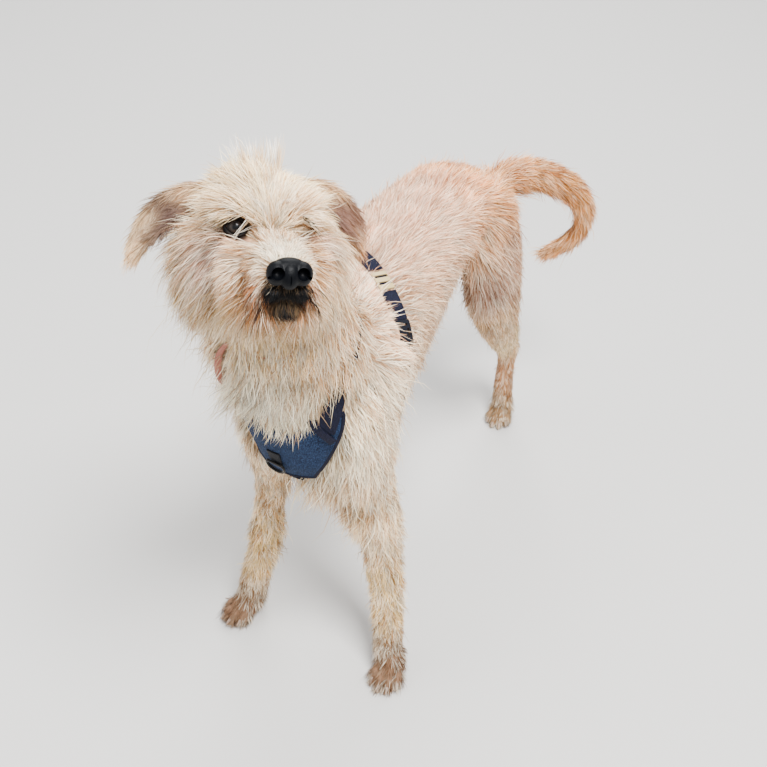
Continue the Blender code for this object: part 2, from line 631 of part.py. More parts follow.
def harness(wrap):
    """The chest harness and the collar, each strap in its groove."""
    blue, navy = "harness_blue", "harness_navy"
    chest_panel(wrap)
    wrap.loop("collar", *COLLAR, 0.016, "collar_coral", SINK, STRAP, steps=26)
    drop = math.radians(GIRTH_DROP)
    slant = math.radians(GIRTH_SLANT)
    planes = []
    for side in (1, -1):
        planes.append((GIRTH_AT, (side * math.sin(slant) * math.cos(drop),
                                  math.cos(slant) * math.cos(drop), -math.sin(drop))))
    left, right = planes
    wrap.loop("girth_strap_right", *right, 0.022, navy, SINK, STRAP, (188, 320), 11)
    wrap.loop("girth_strap_upper", *left, 0.022, navy, 0.003, STRAP, (-7, 15), 3)
    wrap.loop("girth_slider", *left, 0.027, "slider_tan", 0.003, 0.005, (16, 32), 2)
    wrap.loop("girth_strap_middle", *left, 0.022, navy, 0.007, STRAP, (33, 50), 2)
    wrap.loop("girth_clip", *left, 0.026, "clip_black", 0.008, 0.006, (51, 66), 2)
    wrap.loop("girth_strap_lower", *left, 0.018, navy, 0.011, STRAP, (67, 172), 9)

    rows = []
    for k in range(6):
        y = PLATE_AT[1] - 0.028 + 0.056 * k / 5
        rows.append([((PLATE_AT[0] + x, y, 0.80), (PLATE_AT[0] + x, y, 0.40)) for x in (-0.014, 0.014)])
    wrap.lay("back_plate", rows, False, blue, SINK - 0.001, 0.005)

    rows = []
    for k in range(9):
        y = -0.290 + 0.125 * k / 8
        rows.append([((NECK_LEAN + x, y, 0.05), (NECK_LEAN + x, y, 0.40)) for x in (-0.010, 0.010)])
    wrap.lay("sternum_strap", rows, False, navy, SINK, STRAP)

    for name, side in (("left", 1), ("right", -1)):
        low, mid, top = [Vector((NECK_LEAN + (x - NECK_LEAN) * side, y, z)) for x, y, z in NECK_STRAP]
        top.x = PLATE_AT[0] + 0.016 * side
        normal = (mid - low).cross(top - mid)
        centre = (low + top) / 2 + Vector((-0.02 * side, 0, -0.03))
        centre -= normal.normalized() * (centre - low).dot(normal.normalized())
        wrap.loop("neck_strap_" + name, centre, normal, 0.024, navy, SINK, STRAP,
                  (6 * side, 96 * side), 9)


# ---------------------------------------------------------------- eyes and nose
def eyes(wrap):
    """Both eyeballs, each in a socket that opens ahead."""
    for name, side in (("left", 1), ("right", -1)):
        bm = bmesh.new()
        centre = on_head(-0.004, EYE_APART / 2 * side, 0)
        bmesh.ops.create_icosphere(bm, subdivisions=2, radius=EYE_RADIUS, matrix=Matrix.Translation(centre))
        ball = object_from("eye_" + name, bm, "eye")
        bm = bmesh.new()
        out = (HEAD @ Vector((1.0, 0.35 * side, 0.05))).normalized()
        turn = out.to_track_quat("Z", "Y").to_matrix().to_4x4()
        matrix = Matrix.Translation(centre + out * 0.025) @ turn
        bmesh.ops.create_cone(bm, cap_ends=True, segments=14, radius1=0.0080, radius2=0.0170,
                              depth=0.044, matrix=matrix)
        wrap.bed(ball, object_from("opening", bm))


def nose(wrap):
    """The nose leather: a rounded block with two nostrils."""
    bm = bmesh.new()
    at = Vector(NOSE_AT)
    lumps = (((-0.004, 0, 0.002), (0.011, 0.0178, 0.0118)), ((0, 0, -0.002), (0.010, 0.0100, 0.0130)))
    for centre, radii in lumps:
        add_ellipsoid(bm, on_head(*(at + Vector(centre))), radii, HEAD)
    for side in (-1, 1):
        add_ellipsoid(bm, on_head(*(at + Vector((-0.001, 0.0112 * side, -0.001)))), (0.010, 0.0088, 0.0105), HEAD)
    form = object_from("nose", bm)
    remesh = form.modifiers.new("fuse", "REMESH")
    remesh.mode = "VOXEL"
    remesh.voxel_size = 0.0014
    smooth = form.modifiers.new("soften", "SMOOTH")
    smooth.factor = 0.5
    smooth.iterations = 3
    thin = form.modifiers.new("thin", "DECIMATE")
    thin.ratio = 0.022
    form = evaluated_copy(form, "nose")
    for side in (-1, 1):
        bm = bmesh.new()
        add_ellipsoid(bm, on_head(*(at + Vector((0.0105, 0.0092 * side, -0.003)))), (0.006, 0.0042, 0.0034),
                      HEAD, rings=5)
        form = combined("nose", form, object_from("nostril", bm), "DIFFERENCE", "nose_leather")
    wrap.bed(form)


def settle():
    """Moves everything so that the middle of the whole's underside is the origin."""
    parts = list(bpy.data.objects)
    corners = np.array([tuple(v.co) for part in parts for v in part.data.vertices])
    low, high = corners.min(0), corners.max(0)
    shift = Matrix.Translation((-(low[0] + high[0]) / 2, -(low[1] + high[1]) / 2, -low[2]))
    for part in parts:
        part.data.transform(shift)


clear_scene()
wrap = Wrap(flesh_form())
harness(wrap)
for ear_name, ear_rows in (("ear_left", EAR_LEFT), ("ear_right", EAR_RIGHT)):
    wrap.bed(ear(ear_name, ear_rows))
eyes(wrap)
nose(wrap)
part_all(wrap.flesh)
for paw_name, paw_data in PAWS.items():
    paw(paw_name, *paw_data)
settle()
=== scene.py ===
# %% [markdown]
# # A rough-coated terrier cross in a chest harness
# The dog is a still model, like one in a museum. Its body is one skin, its coat is many thin
# ribbons of mesh that lie over that skin, and its eyes, nose leather, claws and harness are
# pieces of their own. The frame that is loaded here already holds every part at its real size
# and place, so each new piece goes where the frame says.

# %% Load the frame
import json
import math

import bpy
import numpy as np
from mathutils import Euler, Matrix, Vector
from mathutils.bvhtree import BVHTree
from mathutils.kdtree import KDTree

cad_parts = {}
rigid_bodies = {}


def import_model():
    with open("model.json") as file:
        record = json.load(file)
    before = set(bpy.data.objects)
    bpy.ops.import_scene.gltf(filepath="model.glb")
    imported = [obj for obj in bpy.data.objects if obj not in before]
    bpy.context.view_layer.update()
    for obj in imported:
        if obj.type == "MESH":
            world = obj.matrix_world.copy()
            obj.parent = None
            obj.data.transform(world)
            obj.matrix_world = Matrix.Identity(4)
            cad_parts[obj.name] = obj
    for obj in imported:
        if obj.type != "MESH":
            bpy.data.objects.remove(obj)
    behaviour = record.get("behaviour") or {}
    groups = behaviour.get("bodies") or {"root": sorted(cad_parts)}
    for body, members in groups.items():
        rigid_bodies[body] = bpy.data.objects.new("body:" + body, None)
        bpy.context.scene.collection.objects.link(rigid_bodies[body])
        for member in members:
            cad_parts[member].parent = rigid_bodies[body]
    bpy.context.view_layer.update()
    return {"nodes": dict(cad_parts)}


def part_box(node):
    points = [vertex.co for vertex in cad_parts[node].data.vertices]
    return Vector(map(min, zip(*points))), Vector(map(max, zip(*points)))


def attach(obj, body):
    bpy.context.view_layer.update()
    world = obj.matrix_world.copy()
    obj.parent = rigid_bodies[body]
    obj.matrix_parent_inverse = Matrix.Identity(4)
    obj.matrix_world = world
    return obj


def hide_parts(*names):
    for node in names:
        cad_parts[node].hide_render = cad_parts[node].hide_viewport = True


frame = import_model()

# %% [markdown]
# ## Where things are
# The head is turned and tipped, so it is easier to work in the head's own directions: ahead,
# left and up, counted from between the eyes. The two eyeballs of the frame fix that place. The
# same shift carries every other number of the dog into the frame.

# %% The head's own directions
HEAD_TURN = math.radians(40.0)
HEAD_LIFT = math.radians(25.0)
HEAD_TIP = math.radians(-9.0)
EYE_BACK = 0.004
EYE_HALF_GAP = 0.033


def head_axes():
    """A 3x3 matrix whose columns point ahead, left and up for the head."""
    turn = Matrix.Rotation(HEAD_TURN, 3, "Z")
    ahead = turn @ Vector((0, -math.cos(HEAD_LIFT), math.sin(HEAD_LIFT)))
    left = Matrix.Rotation(HEAD_TIP, 3, ahead) @ (turn @ Vector((1, 0, 0)))
    return Matrix((ahead, left, ahead.cross(left))).transposed()


def middle(node):
    low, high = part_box(node)
    return (Vector(low) + Vector(high)) / 2


HEAD = head_axes()
HEAD_AT = (middle("eye_left") + middle("eye_right")) / 2 + HEAD.col[0] * EYE_BACK
SHIFT = HEAD_AT - Vector((0.036, -0.410, 0.790))
print("head at", tuple(round(c, 4) for c in HEAD_AT), "shift", tuple(round(c, 4) for c in SHIFT))


def on_head(ahead, left, up):
    """A point given ahead, left and up from between the eyes."""
    return HEAD_AT + HEAD @ Vector((ahead, left, up))


def on_body(x, y, z):
    """A point given in the dog's own measures."""
    return SHIFT + Vector((x, y, z))


def mm(measure):
    """Millimetres in metres: a number, or a tuple of them, row by row."""
    return tuple(mm(part) for part in measure) if isinstance(measure, tuple) else measure / 1000


# %% Helpers for starting clean and keeping a piece's place in its mesh
def fresh():
    """Nothing selected, nothing active."""
    for obj in bpy.context.selected_objects:
        obj.select_set(False)
    bpy.context.view_layer.objects.active = None


def only(obj):
    """Selects one object and makes it the active one."""
    fresh()
    obj.select_set(True)
    bpy.context.view_layer.objects.active = obj


def settle(obj):
    """Puts the object's place, turn and size into its mesh."""
    only(obj)
    bpy.ops.object.transform_apply(location=True, rotation=True, scale=True)
    return obj


def apply_all(obj):
    """Applies each modifier of obj."""
    only(obj)
    for modifier in list(obj.modifiers):
        bpy.ops.object.modifier_apply(modifier=modifier.name)
    return obj


def join_all(name, objects):
    """Joins objects into one."""
    fresh()
    for obj in objects:
        obj.select_set(True)
    bpy.context.view_layer.objects.active = objects[0]
    bpy.ops.object.join()
    joined = bpy.context.view_layer.objects.active
    joined.name = name
    joined.data.name = name
    return joined


def placed(name, data):
    """A new object that holds data, linked to the scene."""
    obj = bpy.data.objects.new(name, data)
    bpy.context.scene.collection.objects.link(obj)
    return obj


def mesh_object(name, points, faces):
    """An object made from arrays of points and faces, with its faces turned outwards."""
    mesh = bpy.data.meshes.new(name)
    mesh.from_pydata([tuple(p) for p in points], [], [tuple(f) for f in faces])
    obj = placed(name, mesh)
    only(obj)
    bpy.ops.object.mode_set(mode="EDIT")
    bpy.ops.mesh.select_all(action="SELECT")
    bpy.ops.mesh.normals_make_consistent(inside=False)
    bpy.ops.object.mode_set(mode="OBJECT")
    return obj


def ball(centre, radii, axes=None, segments=24, rings=14):
    """An ellipsoid: a primitive sphere, stretched along the given axes."""
    fresh()
    bpy.ops.mesh.primitive_uv_sphere_add(segments=segments, ring_count=rings, radius=1.0)
    obj = bpy.context.object
    turn = (axes or Matrix.Identity(3)).to_4x4()
    obj.data.transform(Matrix.Translation(centre) @ turn @ Matrix.Diagonal((*radii, 1.0)))
    return obj


def fuse(obj, voxel, smooths, factor=0.5):
    """Melts the overlapping solids of obj into one skin and smooths it."""
    only(obj)
    remesh = obj.modifiers.new("fuse", "REMESH")
    remesh.mode = "VOXEL"
    remesh.voxel_size = voxel
    smooth = obj.modifiers.new("soften", "SMOOTH")
    smooth.factor = factor
    smooth.iterations = smooths
    return apply_all(obj)


def cut_out(obj, cutters):
    """Takes each cutter out of obj with an exact Boolean, and removes the cutter."""
    for cutter in cutters:
        cut = obj.modifiers.new("cut", "BOOLEAN")
        cut.operation = "DIFFERENCE"
        cut.solver = "EXACT"
        cut.object = cutter
        apply_all(obj)
        bpy.data.objects.remove(cutter)


def grid_faces(rows, columns, around=False, looped=False):
    """Quads between the rows of a grid; around closes each row, looped joins the last to the first."""
    faces = []
    for i in range(rows if looped else rows - 1):
        after = (i + 1) % rows
        for k in range(columns if around else columns - 1):
            n = (k + 1) % columns
            faces.append((i * columns + k, i * columns + n, after * columns + n, after * columns + k))
    return faces


def tree_of(objects):
    """A search tree over the faces of some objects."""
    spots, faces = [], []
    for obj in objects:
        start = len(spots)
        spots += [obj.matrix_world @ v.co for v in obj.data.vertices]
        faces += [tuple(start + k for k in p.vertices) for p in obj.data.polygons]
    return BVHTree.FromPolygons(spots, faces)


def unit(v):
    """Vectors of length one."""
    return v / np.maximum(np.linalg.norm(v, axis=-1, keepdims=True), 1e-9)


# %% [markdown]
# ## The skin
# Under the coat the body is a set of long, tapering masses: trunk, neck, legs and tail. Each is
# a tube whose rings follow the limb, with a width and two depths at every station. A modeller
# could extrude them ring by ring by hand. Here a helper does the same from a short list of
# measures, and a voxel remesh then melts the tubes into one surface, as muscle and skin flow
# into each other.

# %% A tube through stations
THINNEST = 0.0012


def smooth_rows(rows, steps):
    """Rows of numbers made finer by a smooth curve through them."""
    rows = np.array(rows, float)
    padded = np.vstack([2 * rows[0] - rows[1], rows, 2 * rows[-1] - rows[-2]])
    fine = []
    for i in range(len(rows) - 1):
        a, b, c, d = padded[i:i + 4]
        for t in np.arange(steps) / steps:
            fine.append(0.5 * (2 * b + (c - a) * t + (2 * a - 5 * b + 4 * c - d) * t**2
                               + (3 * b - a - 3 * c + d) * t**3))
    return np.array(fine + [rows[-1]])


def tube(name, stations, side, points=24, steps=4, keel=0.0, square=1.0):
    """A closed tube through stations of (x, y, z, half width, first half height, second).

    The width lies along side. The first height is on the side to which path x width points.
    keel widens the first side and narrows the second by this share.
    """
    fine = smooth_rows(stations, steps)
    path, sizes = fine[:, :3], np.maximum(fine[:, 3:6], THINNEST)
    spots = []
    for i, centre in enumerate(path):
        run = Vector(path[min(i + 1, len(path) - 1)] - path[max(i - 1, 0)]).normalized()
        wide = (Vector(side) - Vector(side).dot(run) * run).normalized()
        high = run.cross(wide)
        half, first, second = sizes[i]
        for k in range(points):
            c, s = math.cos(2 * math.pi * k / points), math.sin(2 * math.pi * k / points)
            across = math.copysign(abs(c) ** square, c) * half * (1 + keel * s)
            along = math.copysign(abs(s) ** square, s) * (first if s > 0 else second)
            spots.append(Vector(centre) + wide * across + high * along)
    faces = grid_faces(len(path), points, around=True)
    faces += [range(points), range((len(path) - 1) * points, len(path) * points)]
    return mesh_object(name, spots, faces)


def body_rows(rows):
    return [(*on_body(*row[:3]), *row[3:]) for row in rows]


def head_rows(rows):
    return [(*on_head(*row[:3]), *row[3:]) for row in rows]


# %% The measures of the body under the coat
# Trunk: (middle, y, top, bottom, half width). The others: (x, y, z, half width, two depths).
TRUNK = mm((
    (-4, -322, 425, 385, 20), (-6, -302, 462, 350, 56), (-8, -262, 508, 306, 78), (-10, -200, 540, 284, 82),
    (-18, -110, 542, 280, 80), (-24, -20, 538, 304, 80), (-22, 60, 534, 350, 74), (-15, 125, 531, 380, 68),
    (-6, 185, 524, 386, 70), (0, 230, 504, 390, 66), (2, 254, 480, 405, 46), (2, 268, 456, 425, 18)
))
NECK = mm((
    (-6, -190, 450, 66, 68, 90), (-14, -250, 520, 66, 60, 78), (-14, -295, 600, 60, 46, 62),
    (-8, -322, 680, 53, 38, 56), (2, -345, 750, 46, 34, 50)
))
TAIL = mm((
    (10, 225, 470, 20), (34, 266, 480, 16), (59, 303, 483, 14), (89, 332, 474, 13), (125, 352, 454, 12),
    (150, 356, 420, 11), (150, 353, 384, 9.5), (128, 347, 354, 7.5), (104, 341, 335, 5)
))
FORE_LEFT = mm((
    (56, -200, 500, 20, 38, 38), (56, -235, 430, 28, 48, 46), (60, -243, 360, 29, 40, 40),
    (67, -240, 300, 25, 27, 31), (80, -241, 240, 20.5, 21, 24), (92, -246, 180, 16.5, 18, 19),
    (102, -253, 120, 15.5, 17, 16), (109, -263, 75, 16.5, 17, 15.5), (113, -271, 40, 18, 18, 16)
))
FORE_RIGHT = mm((
    (-60, -200, 500, 20, 38, 38), (-70, -232, 430, 28, 48, 46), (-77, -237, 360, 29, 40, 40),
    (-83, -229, 300, 23.5, 27, 31), (-86, -229, 240, 19.5, 21, 24), (-90, -235, 180, 16.5, 18, 19),
    (-96, -243, 120, 15.5, 17, 16), (-103, -255, 75, 16.5, 17, 15.5), (-108, -263, 40, 18, 18, 16)
))
HIND_LEFT = mm((
    (36, 200, 505, 22, 50, 46), (54, 195, 440, 30, 72, 66), (68, 190, 370, 32, 64, 62),
    (75, 200, 310, 28, 49, 47), (76, 232, 250, 22.5, 34, 32), (73, 275, 190, 16.5, 23, 24),
    (70, 306, 145, 14, 18.5, 21.5), (69, 311, 105, 13, 15.5, 15), (70, 307, 65, 14, 15, 14),
    (73, 300, 36, 16, 16, 15)
))
HIND_RIGHT = mm((
    (-36, 195, 505, 22, 50, 46), (-52, 175, 440, 30, 72, 66), (-67, 142, 375, 32, 64, 62),
    (-76, 120, 312, 28, 46, 45), (-80, 133, 250, 22, 31, 31), (-84, 166, 190, 16.5, 22, 24),
    (-86, 192, 145, 14, 18.5, 21), (-87, 185, 105, 13, 15.5, 15), (-88, 165, 65, 14, 15, 14),
    (-89, 150, 36, 16, 16, 15)
))

# %% Trunk, neck, tail and legs, melted together
WIDEST = 0.60
trunk_rows = []
for mid, y, top, low, half in TRUNK:
    deep = top - low
    trunk_rows.append((mid, y, low + WIDEST * deep, half, WIDEST * deep, (1 - WIDEST) * deep))
side = (1, 0, 0)
masses = [tube("trunk", body_rows(trunk_rows), side, keel=-0.20, square=0.94),
          tube("neck", body_rows(NECK), side),
          tube("tail", body_rows([(*row, row[3], row[3]) for row in TAIL]), (0, 0, 1), points=14)]
for name, rows in (("fore_left", FORE_LEFT), ("fore_right", FORE_RIGHT),
                   ("hind_left", HIND_LEFT), ("hind_right", HIND_RIGHT)):
    masses.append(tube(name, body_rows(rows), side, points=18))
for side_sign in (-1, 1):
    masses.append(ball(on_body(0.045 * side_sign, -0.175, 0.475), (0.030, 0.050, 0.052)))
    masses.append(ball(on_body(0.050 * side_sign, 0.190, 0.462), (0.030, 0.060, 0.045)))
body = fuse(join_all("body", masses), 0.0042, 6)
print("body:", len(body.data.polygons), "faces")

# %% [markdown]
# ## The head
# A terrier's skull is a long, low box with a muzzle nearly as long. The cheeks, the brow over
# each eye and the pads that carry the whiskers are separate swellings, so each is a stretched
# sphere, and a finer remesh melts them together.

# %% Skull, muzzle, jaw and cheeks
MUZZLE = mm((
    (-45, 0, -22, 38, 32, 34), (0, 0, -23, 29, 19, 29), (40, 0, -25, 23.5, 15, 26),
    (74, 0, -27, 21.5, 13.5, 23.5), (91, 0, -31, 16.5, 11, 16.5)
))
JAW = mm((
    (-60, 0, -50, 34, 20, 20), (0, 0, -58, 22, 15, 12), (45, 0, -57, 17.5, 11, 10), (78, 0, -55, 12.5, 8, 8)
))
left_axis = HEAD.col[1]
head_masses = [ball(on_head(-0.066, 0, 0.002), (0.070, 0.050, 0.044), HEAD),
               ball(on_head(-0.022, 0, 0.004), (0.034, 0.034, 0.024), HEAD),
               tube("muzzle", head_rows(MUZZLE), left_axis), tube("jaw", head_rows(JAW), left_axis)]
for s in (-1, 1):
    head_masses.append(ball(on_head(-0.052, 0.036 * s, -0.026), (0.042, 0.025, 0.038), HEAD))
    head_masses.append(ball(on_head(-0.006, 0.026 * s, 0.0125), (0.017, 0.016, 0.0075), HEAD))
    head_masses.append(ball(on_head(-0.008, 0.030 * s, -0.014), (0.020, 0.015, 0.009), HEAD))
    head_masses.append(ball(on_head(0.004, 0.024 * s, -0.032), (0.034, 0.0155, 0.020), HEAD))
    head_masses.append(ball(on_head(0.074, 0.010 * s, -0.040), (0.019, 0.0125, 0.0115), HEAD))
skull = fuse(join_all("skull", head_masses), 0.0019, 6)
print("head:", len(skull.data.polygons), "faces")

# %% [markdown]
# ## Eyelids
# An eyelid is a fold that slides over the eyeball, with a rim about a millimetre thick. The
# skull gets a socket first: a Boolean takes a ball and a short cone out of it. Each pair of lids
# is then a shell just outside the eyeball with an almond-shaped opening. Its rows run from the
# wet inner rim, over the edge, and out until they sink into the skin of the socket.

# %% Sockets and lids
EYE_RADIUS = 0.0105
SOCKET_RADIUS = 0.0116
# Rows of a lid: how far from the rim towards the socket, and the distance from the eyeball's centre
LID_ROWS = ((0.00, 0.01045), (0.00, 0.0109), (0.03, 0.0118), (0.10, 0.0124), (0.30, 0.0128),
            (0.60, 0.0130), (1.00, 0.0122))
LID_POINTS = 56
eye_centres = {}
lids = []
for name, s in (("left", 1), ("right", -1)):
    centre = on_head(-EYE_BACK, EYE_HALF_GAP * s, 0)
    eye_centres[name] = centre
    out = (HEAD @ Vector((1.0, 0.22 * s, 0.04))).normalized()
    fresh()
    bpy.ops.mesh.primitive_cone_add(vertices=28, radius1=0.0088, radius2=0.0150, depth=0.030)
    cone = bpy.context.object
    cone.matrix_world = (Matrix.Translation(centre + out * 0.016)
                         @ out.to_track_quat("Z", "Y").to_matrix().to_4x4())
    settle(cone)
    cut_out(skull, [cone, ball(centre, (SOCKET_RADIUS,) * 3)])

    outward = (HEAD @ Vector((0.0, s, 0.0)) - out * out.dot(HEAD @ Vector((0.0, s, 0.0)))).normalized()
    lid_up = out.cross(outward) * -s
    if lid_up.dot(HEAD.col[2]) < 0:
        lid_up = -lid_up
    spots = []
    for share, reach in LID_ROWS:
        for k in range(LID_POINTS):
            turn = 2 * math.pi * k / LID_POINTS
            c, sn = math.cos(turn), math.sin(turn)
            almond_side = 0.80 * c
            almond_up = (0.72 if sn > 0 else 0.62) * sn * (1 - 0.30 * c * c) + 0.05 * c
            far_side, far_up = 1.02 * c, 0.98 * sn
            a = almond_side + (far_side - almond_side) * share
            b = almond_up + (far_up - almond_up) * share
            level = 1 - a * a - b * b
            front = math.sqrt(level) if level > 0 else -0.10
            direction = (outward * a + lid_up * b + out * front).normalized()
            spots.append(centre + direction * reach)
    lids.append(mesh_object("lids_" + name, spots, grid_faces(len(LID_ROWS), LID_POINTS, around=True)))
print("lids:", [len(o.data.polygons) for o in lids])

# %% [markdown]
# ## Ears
# A drop ear is a leaf of thin leather, cupped towards the face, that stands out from the skull
# and folds down under its own weight. A grid follows the ear's middle line, and Solidify gives
# the leather its thickness.

# %% Ear leaves
EARS = {
    "left": mm((
        (-66, 40, 26, 15), (-66, 58, 24, 16), (-65, 75, 14, 16.5), (-63, 88, -1, 15), (-62, 95, -14, 10.5),
        (-61, 99, -25, 4)
    )),
    "right": mm((
        (-60, -40, 20, 16), (-56, -70, 17, 15), (-51, -92, 8, 14.5), (-46, -108, -7, 12.5),
        (-43, -118, -22, 8.5), (-41, -124, -34, 3.5)
    )),
}
EAR_FACE = HEAD @ Vector((0.5, 0.0, -0.85)).normalized()
EAR_COLUMNS, EAR_LEATHER, EAR_CUP = 11, 0.0034, 0.35
ear_leaves = []
ear_paths = {}
for name, rows in EARS.items():
    fine = smooth_rows([(*on_head(*row[:3]), row[3]) for row in rows], 6)
    ear_paths[name] = fine
    spots = []
    for i, (x, y, z, half) in enumerate(fine):
        path = Vector(fine[min(i + 1, len(fine) - 1)][:3]) - Vector(fine[max(i - 1, 0)][:3])
        run = path.normalized()
        wide = (EAR_FACE - run * EAR_FACE.dot(run)).normalized()
        face = wide.cross(run)
        if face.dot(HEAD.col[0]) < 0:
            face = -face
        for k in range(EAR_COLUMNS):
            u = 2 * k / (EAR_COLUMNS - 1) - 1
            spots.append(Vector((x, y, z)) + wide * half * u + face * half * EAR_CUP * (u * u - 0.3))
    leaf = mesh_object("ear_leaf_" + name, spots, grid_faces(len(fine), EAR_COLUMNS))
    thick = leaf.modifiers.new("leather", "SOLIDIFY")
    thick.thickness = EAR_LEATHER
    thick.offset = 0.0
    soft = leaf.modifiers.new("soft", "SUBSURF")
    soft.levels = soft.render_levels = 1
    ear_leaves.append(apply_all(leaf))
print("ears:", [len(o.data.polygons) for o in ear_leaves])

# %% [markdown]
# ## Paws
# A dog stands on four toes and the pads behind them. Each toe is an arched knuckle and a
# rounded end, so it takes two stretched spheres, and the back of the paw takes two more. The
# fine remesh keeps the clefts between the toes.

# %% Four paws
# (x, y, heading in degrees towards the left, scale, leg) of each paw, toes ahead
PAWS = {"fore_left": (0.122, -0.280, 8.0, 1.0, FORE_LEFT),
        "fore_right": (-0.113, -0.270, -24.0, 1.0, FORE_RIGHT),
        "hind_left": (0.073, 0.300, 6.0, 0.93, HIND_LEFT),
        "hind_right": (-0.089, 0.150, -8.0, 0.93, HIND_RIGHT)}
SOLE = 0.0006
TOES = ((-0.0160, 0.012, -7.0), (-0.0060, 0.022, -2.0), (0.0060, 0.022, 2.0), (0.0160, 0.012, 7.0))
paws = []
claw_roots = []
pads = []
for name, (x, y, heading, scale, leg) in PAWS.items():
    place = (Matrix.Translation(on_body(x, y, 0)) @ Matrix.Rotation(math.radians(heading), 4, "Z")
             @ Matrix.Scale(scale, 4))

    def lump(centre, radii, splay=0.0, dip=0.0):
        turn = Euler((math.radians(dip), 0, math.radians(splay))).to_matrix()
        obj = ball((0, 0, 0), radii, turn, 18, 12)
        obj.data.transform(place @ Matrix.Translation(centre))
        return obj

    lumps = [lump((0, 0.008, 0.025), (0.0170, 0.024, 0.021)),
             lump((0, 0.004, 0.010), (0.0145, 0.020, 0.0125))]
    for across, ahead, splay in TOES:
        lumps.append(lump((across * 0.80, -ahead + 0.014, 0.021), (0.0070, 0.017, 0.0112), splay, 20.0))
        lumps.append(lump((across, -ahead - 0.003, 0.0108), (0.0069, 0.0130, 0.0112), splay))
        aside = math.sin(math.radians(splay))
        tip = Vector((across + aside * 0.012, -ahead - 0.0125, 0.0125))
        claw_roots.append((place @ tip, place.to_3x3() @ Vector((aside, -1, 0)), scale))
        pads.append((place @ Vector((across, -ahead - 0.002, 0.003)), 0.0075 * scale))
    pads.append((place @ Vector((0, 0.004, 0.003)), 0.0140 * scale))
    lumps.append(tube("pastern", body_rows(leg[-3:]), side, points=18))
    foot = fuse(join_all("paw_" + name, lumps), 0.0014, 3)
    for vertex in foot.data.vertices:
        vertex.co.z = max(vertex.co.z, SOLE)
    paws.append(foot)
for s, leg in ((1, FORE_LEFT), (-1, FORE_RIGHT)):
    x, y, z = leg[-2][:3]
    claw_roots.append((on_body(x - 0.016 * s, y + 0.001, z - 0.006), Vector((-0.35 * s, -0.75, 0)), 0.85))
print("paws:", [len(o.data.polygons) for o in paws], "claws:", len(claw_roots))

# %% [markdown]
# ## One skin
# All of it becomes one object. Where two pieces meet, they pass into each other under the
# longest hair. The unwrap made here, named OFBake, gives each tuft of the coat its place.

# %% Join and unwrap the skin
BODY, SKULL, EAR, PAW, LID = range(5)
for kind, objects in ((BODY, [body]), (SKULL, [skull]), (EAR, ear_leaves), (PAW, paws), (LID, lids)):
    for obj in objects:
        mark = obj.data.attributes.new("part", "INT", "FACE")
        mark.data.foreach_set("value", np.full(len(obj.data.polygons), kind, np.int32))
trees = {kind: [tree_of([obj]) for obj in objects]
         for kind, objects in ((BODY, [body]), (SKULL, [skull]), (PAW, paws))}
skin = join_all("skin", [body, skull] + lids + ear_leaves + paws)
only(skin)
bpy.ops.object.shade_smooth()
bpy.ops.object.mode_set(mode="EDIT")
bpy.ops.mesh.select_all(action="SELECT")
bpy.ops.uv.smart_project(angle_limit=math.radians(66), island_margin=0.002)
bpy.ops.object.mode_set(mode="OBJECT")
skin.data.uv_layers[0].name = "OFBake"
print("skin:", len(skin.data.polygons), "faces, unwrapped")

# %% [markdown]
# ## Eyeballs
# An eyeball is a sphere with a flatter, clearer dome in front, the cornea. Each vertex keeps
# how far it is from the middle of the pupil, and the material paints pupil, iris and white
# from that.

# %% Two eyeballs that look at the viewer
VIEWER = on_body(0.512, -1.234, 1.404)
CORNEA = 0.0009
eyeballs = {}
for name, centre in eye_centres.items():
    gaze = (VIEWER - centre).normalized()
    eyeball = ball(centre, (EYE_RADIUS,) * 3, gaze.to_track_quat("Z", "Y").to_matrix(), 48, 60)
    eyeball.name = "eyeball_" + name
    away = eyeball.data.attributes.new("from_pupil", "FLOAT", "POINT")
    for vertex in eyeball.data.vertices:
        angle = (vertex.co - centre).angle(gaze)
        away.data[vertex.index].value = angle
        vertex.co += gaze * CORNEA * max(0.0, 1 - (angle / 0.72) ** 2)
    only(eyeball)
    bpy.ops.object.shade_smooth()
    eyeballs[name] = eyeball
print("eyes:", list(eyeballs))

# %% [markdown]
# ## Nose leather
# The nose is a rounded block of damp, pebbled leather. Its two wings swell round the nostrils.
# Each nostril is a round hole with a slit that runs outwards, and a groove runs down the
# middle. The block is fused from stretched spheres, and Booleans take the holes out.

# %% Nose
NOSE_AT = Vector((0.100, 0.0, -0.026))
CREASE = math.radians(40)   # edges sharper than this stay sharp


def at_nose(ahead, left, up):
    return on_head(*(NOSE_AT + Vector((ahead, left, up))))


leather = [ball(at_nose(-0.0035, 0, 0.0022), (0.0110, 0.0172, 0.0112), HEAD),
           ball(at_nose(0.0006, 0, -0.0020), (0.0096, 0.0098, 0.0126), HEAD)]
for s in (-1, 1):
    leather.append(ball(at_nose(-0.0006, 0.0114 * s, -0.0004), (0.0098, 0.0094, 0.0110), HEAD))
nose = fuse(join_all("nose_leather", leather), 0.0007, 4)
cutters = [ball(at_nose(0.0112, 0, -0.0090), (0.0036, 0.0007, 0.0090), HEAD)]
for s in (-1, 1):
    droop = HEAD @ Matrix.Rotation(math.radians(-28 * s), 3, "X")
    cutters.append(ball(at_nose(0.0084, 0.0112 * s, 0.0002), (0.0095, 0.0060, 0.0058), droop))
    cutters.append(ball(at_nose(0.0050, 0.0168 * s, -0.0030), (0.0046, 0.0040, 0.0016), droop))
cut_out(nose, cutters)
only(nose)
bpy.ops.object.shade_smooth_by_angle(angle=CREASE)
print("nose:", len(nose.data.polygons), "faces")

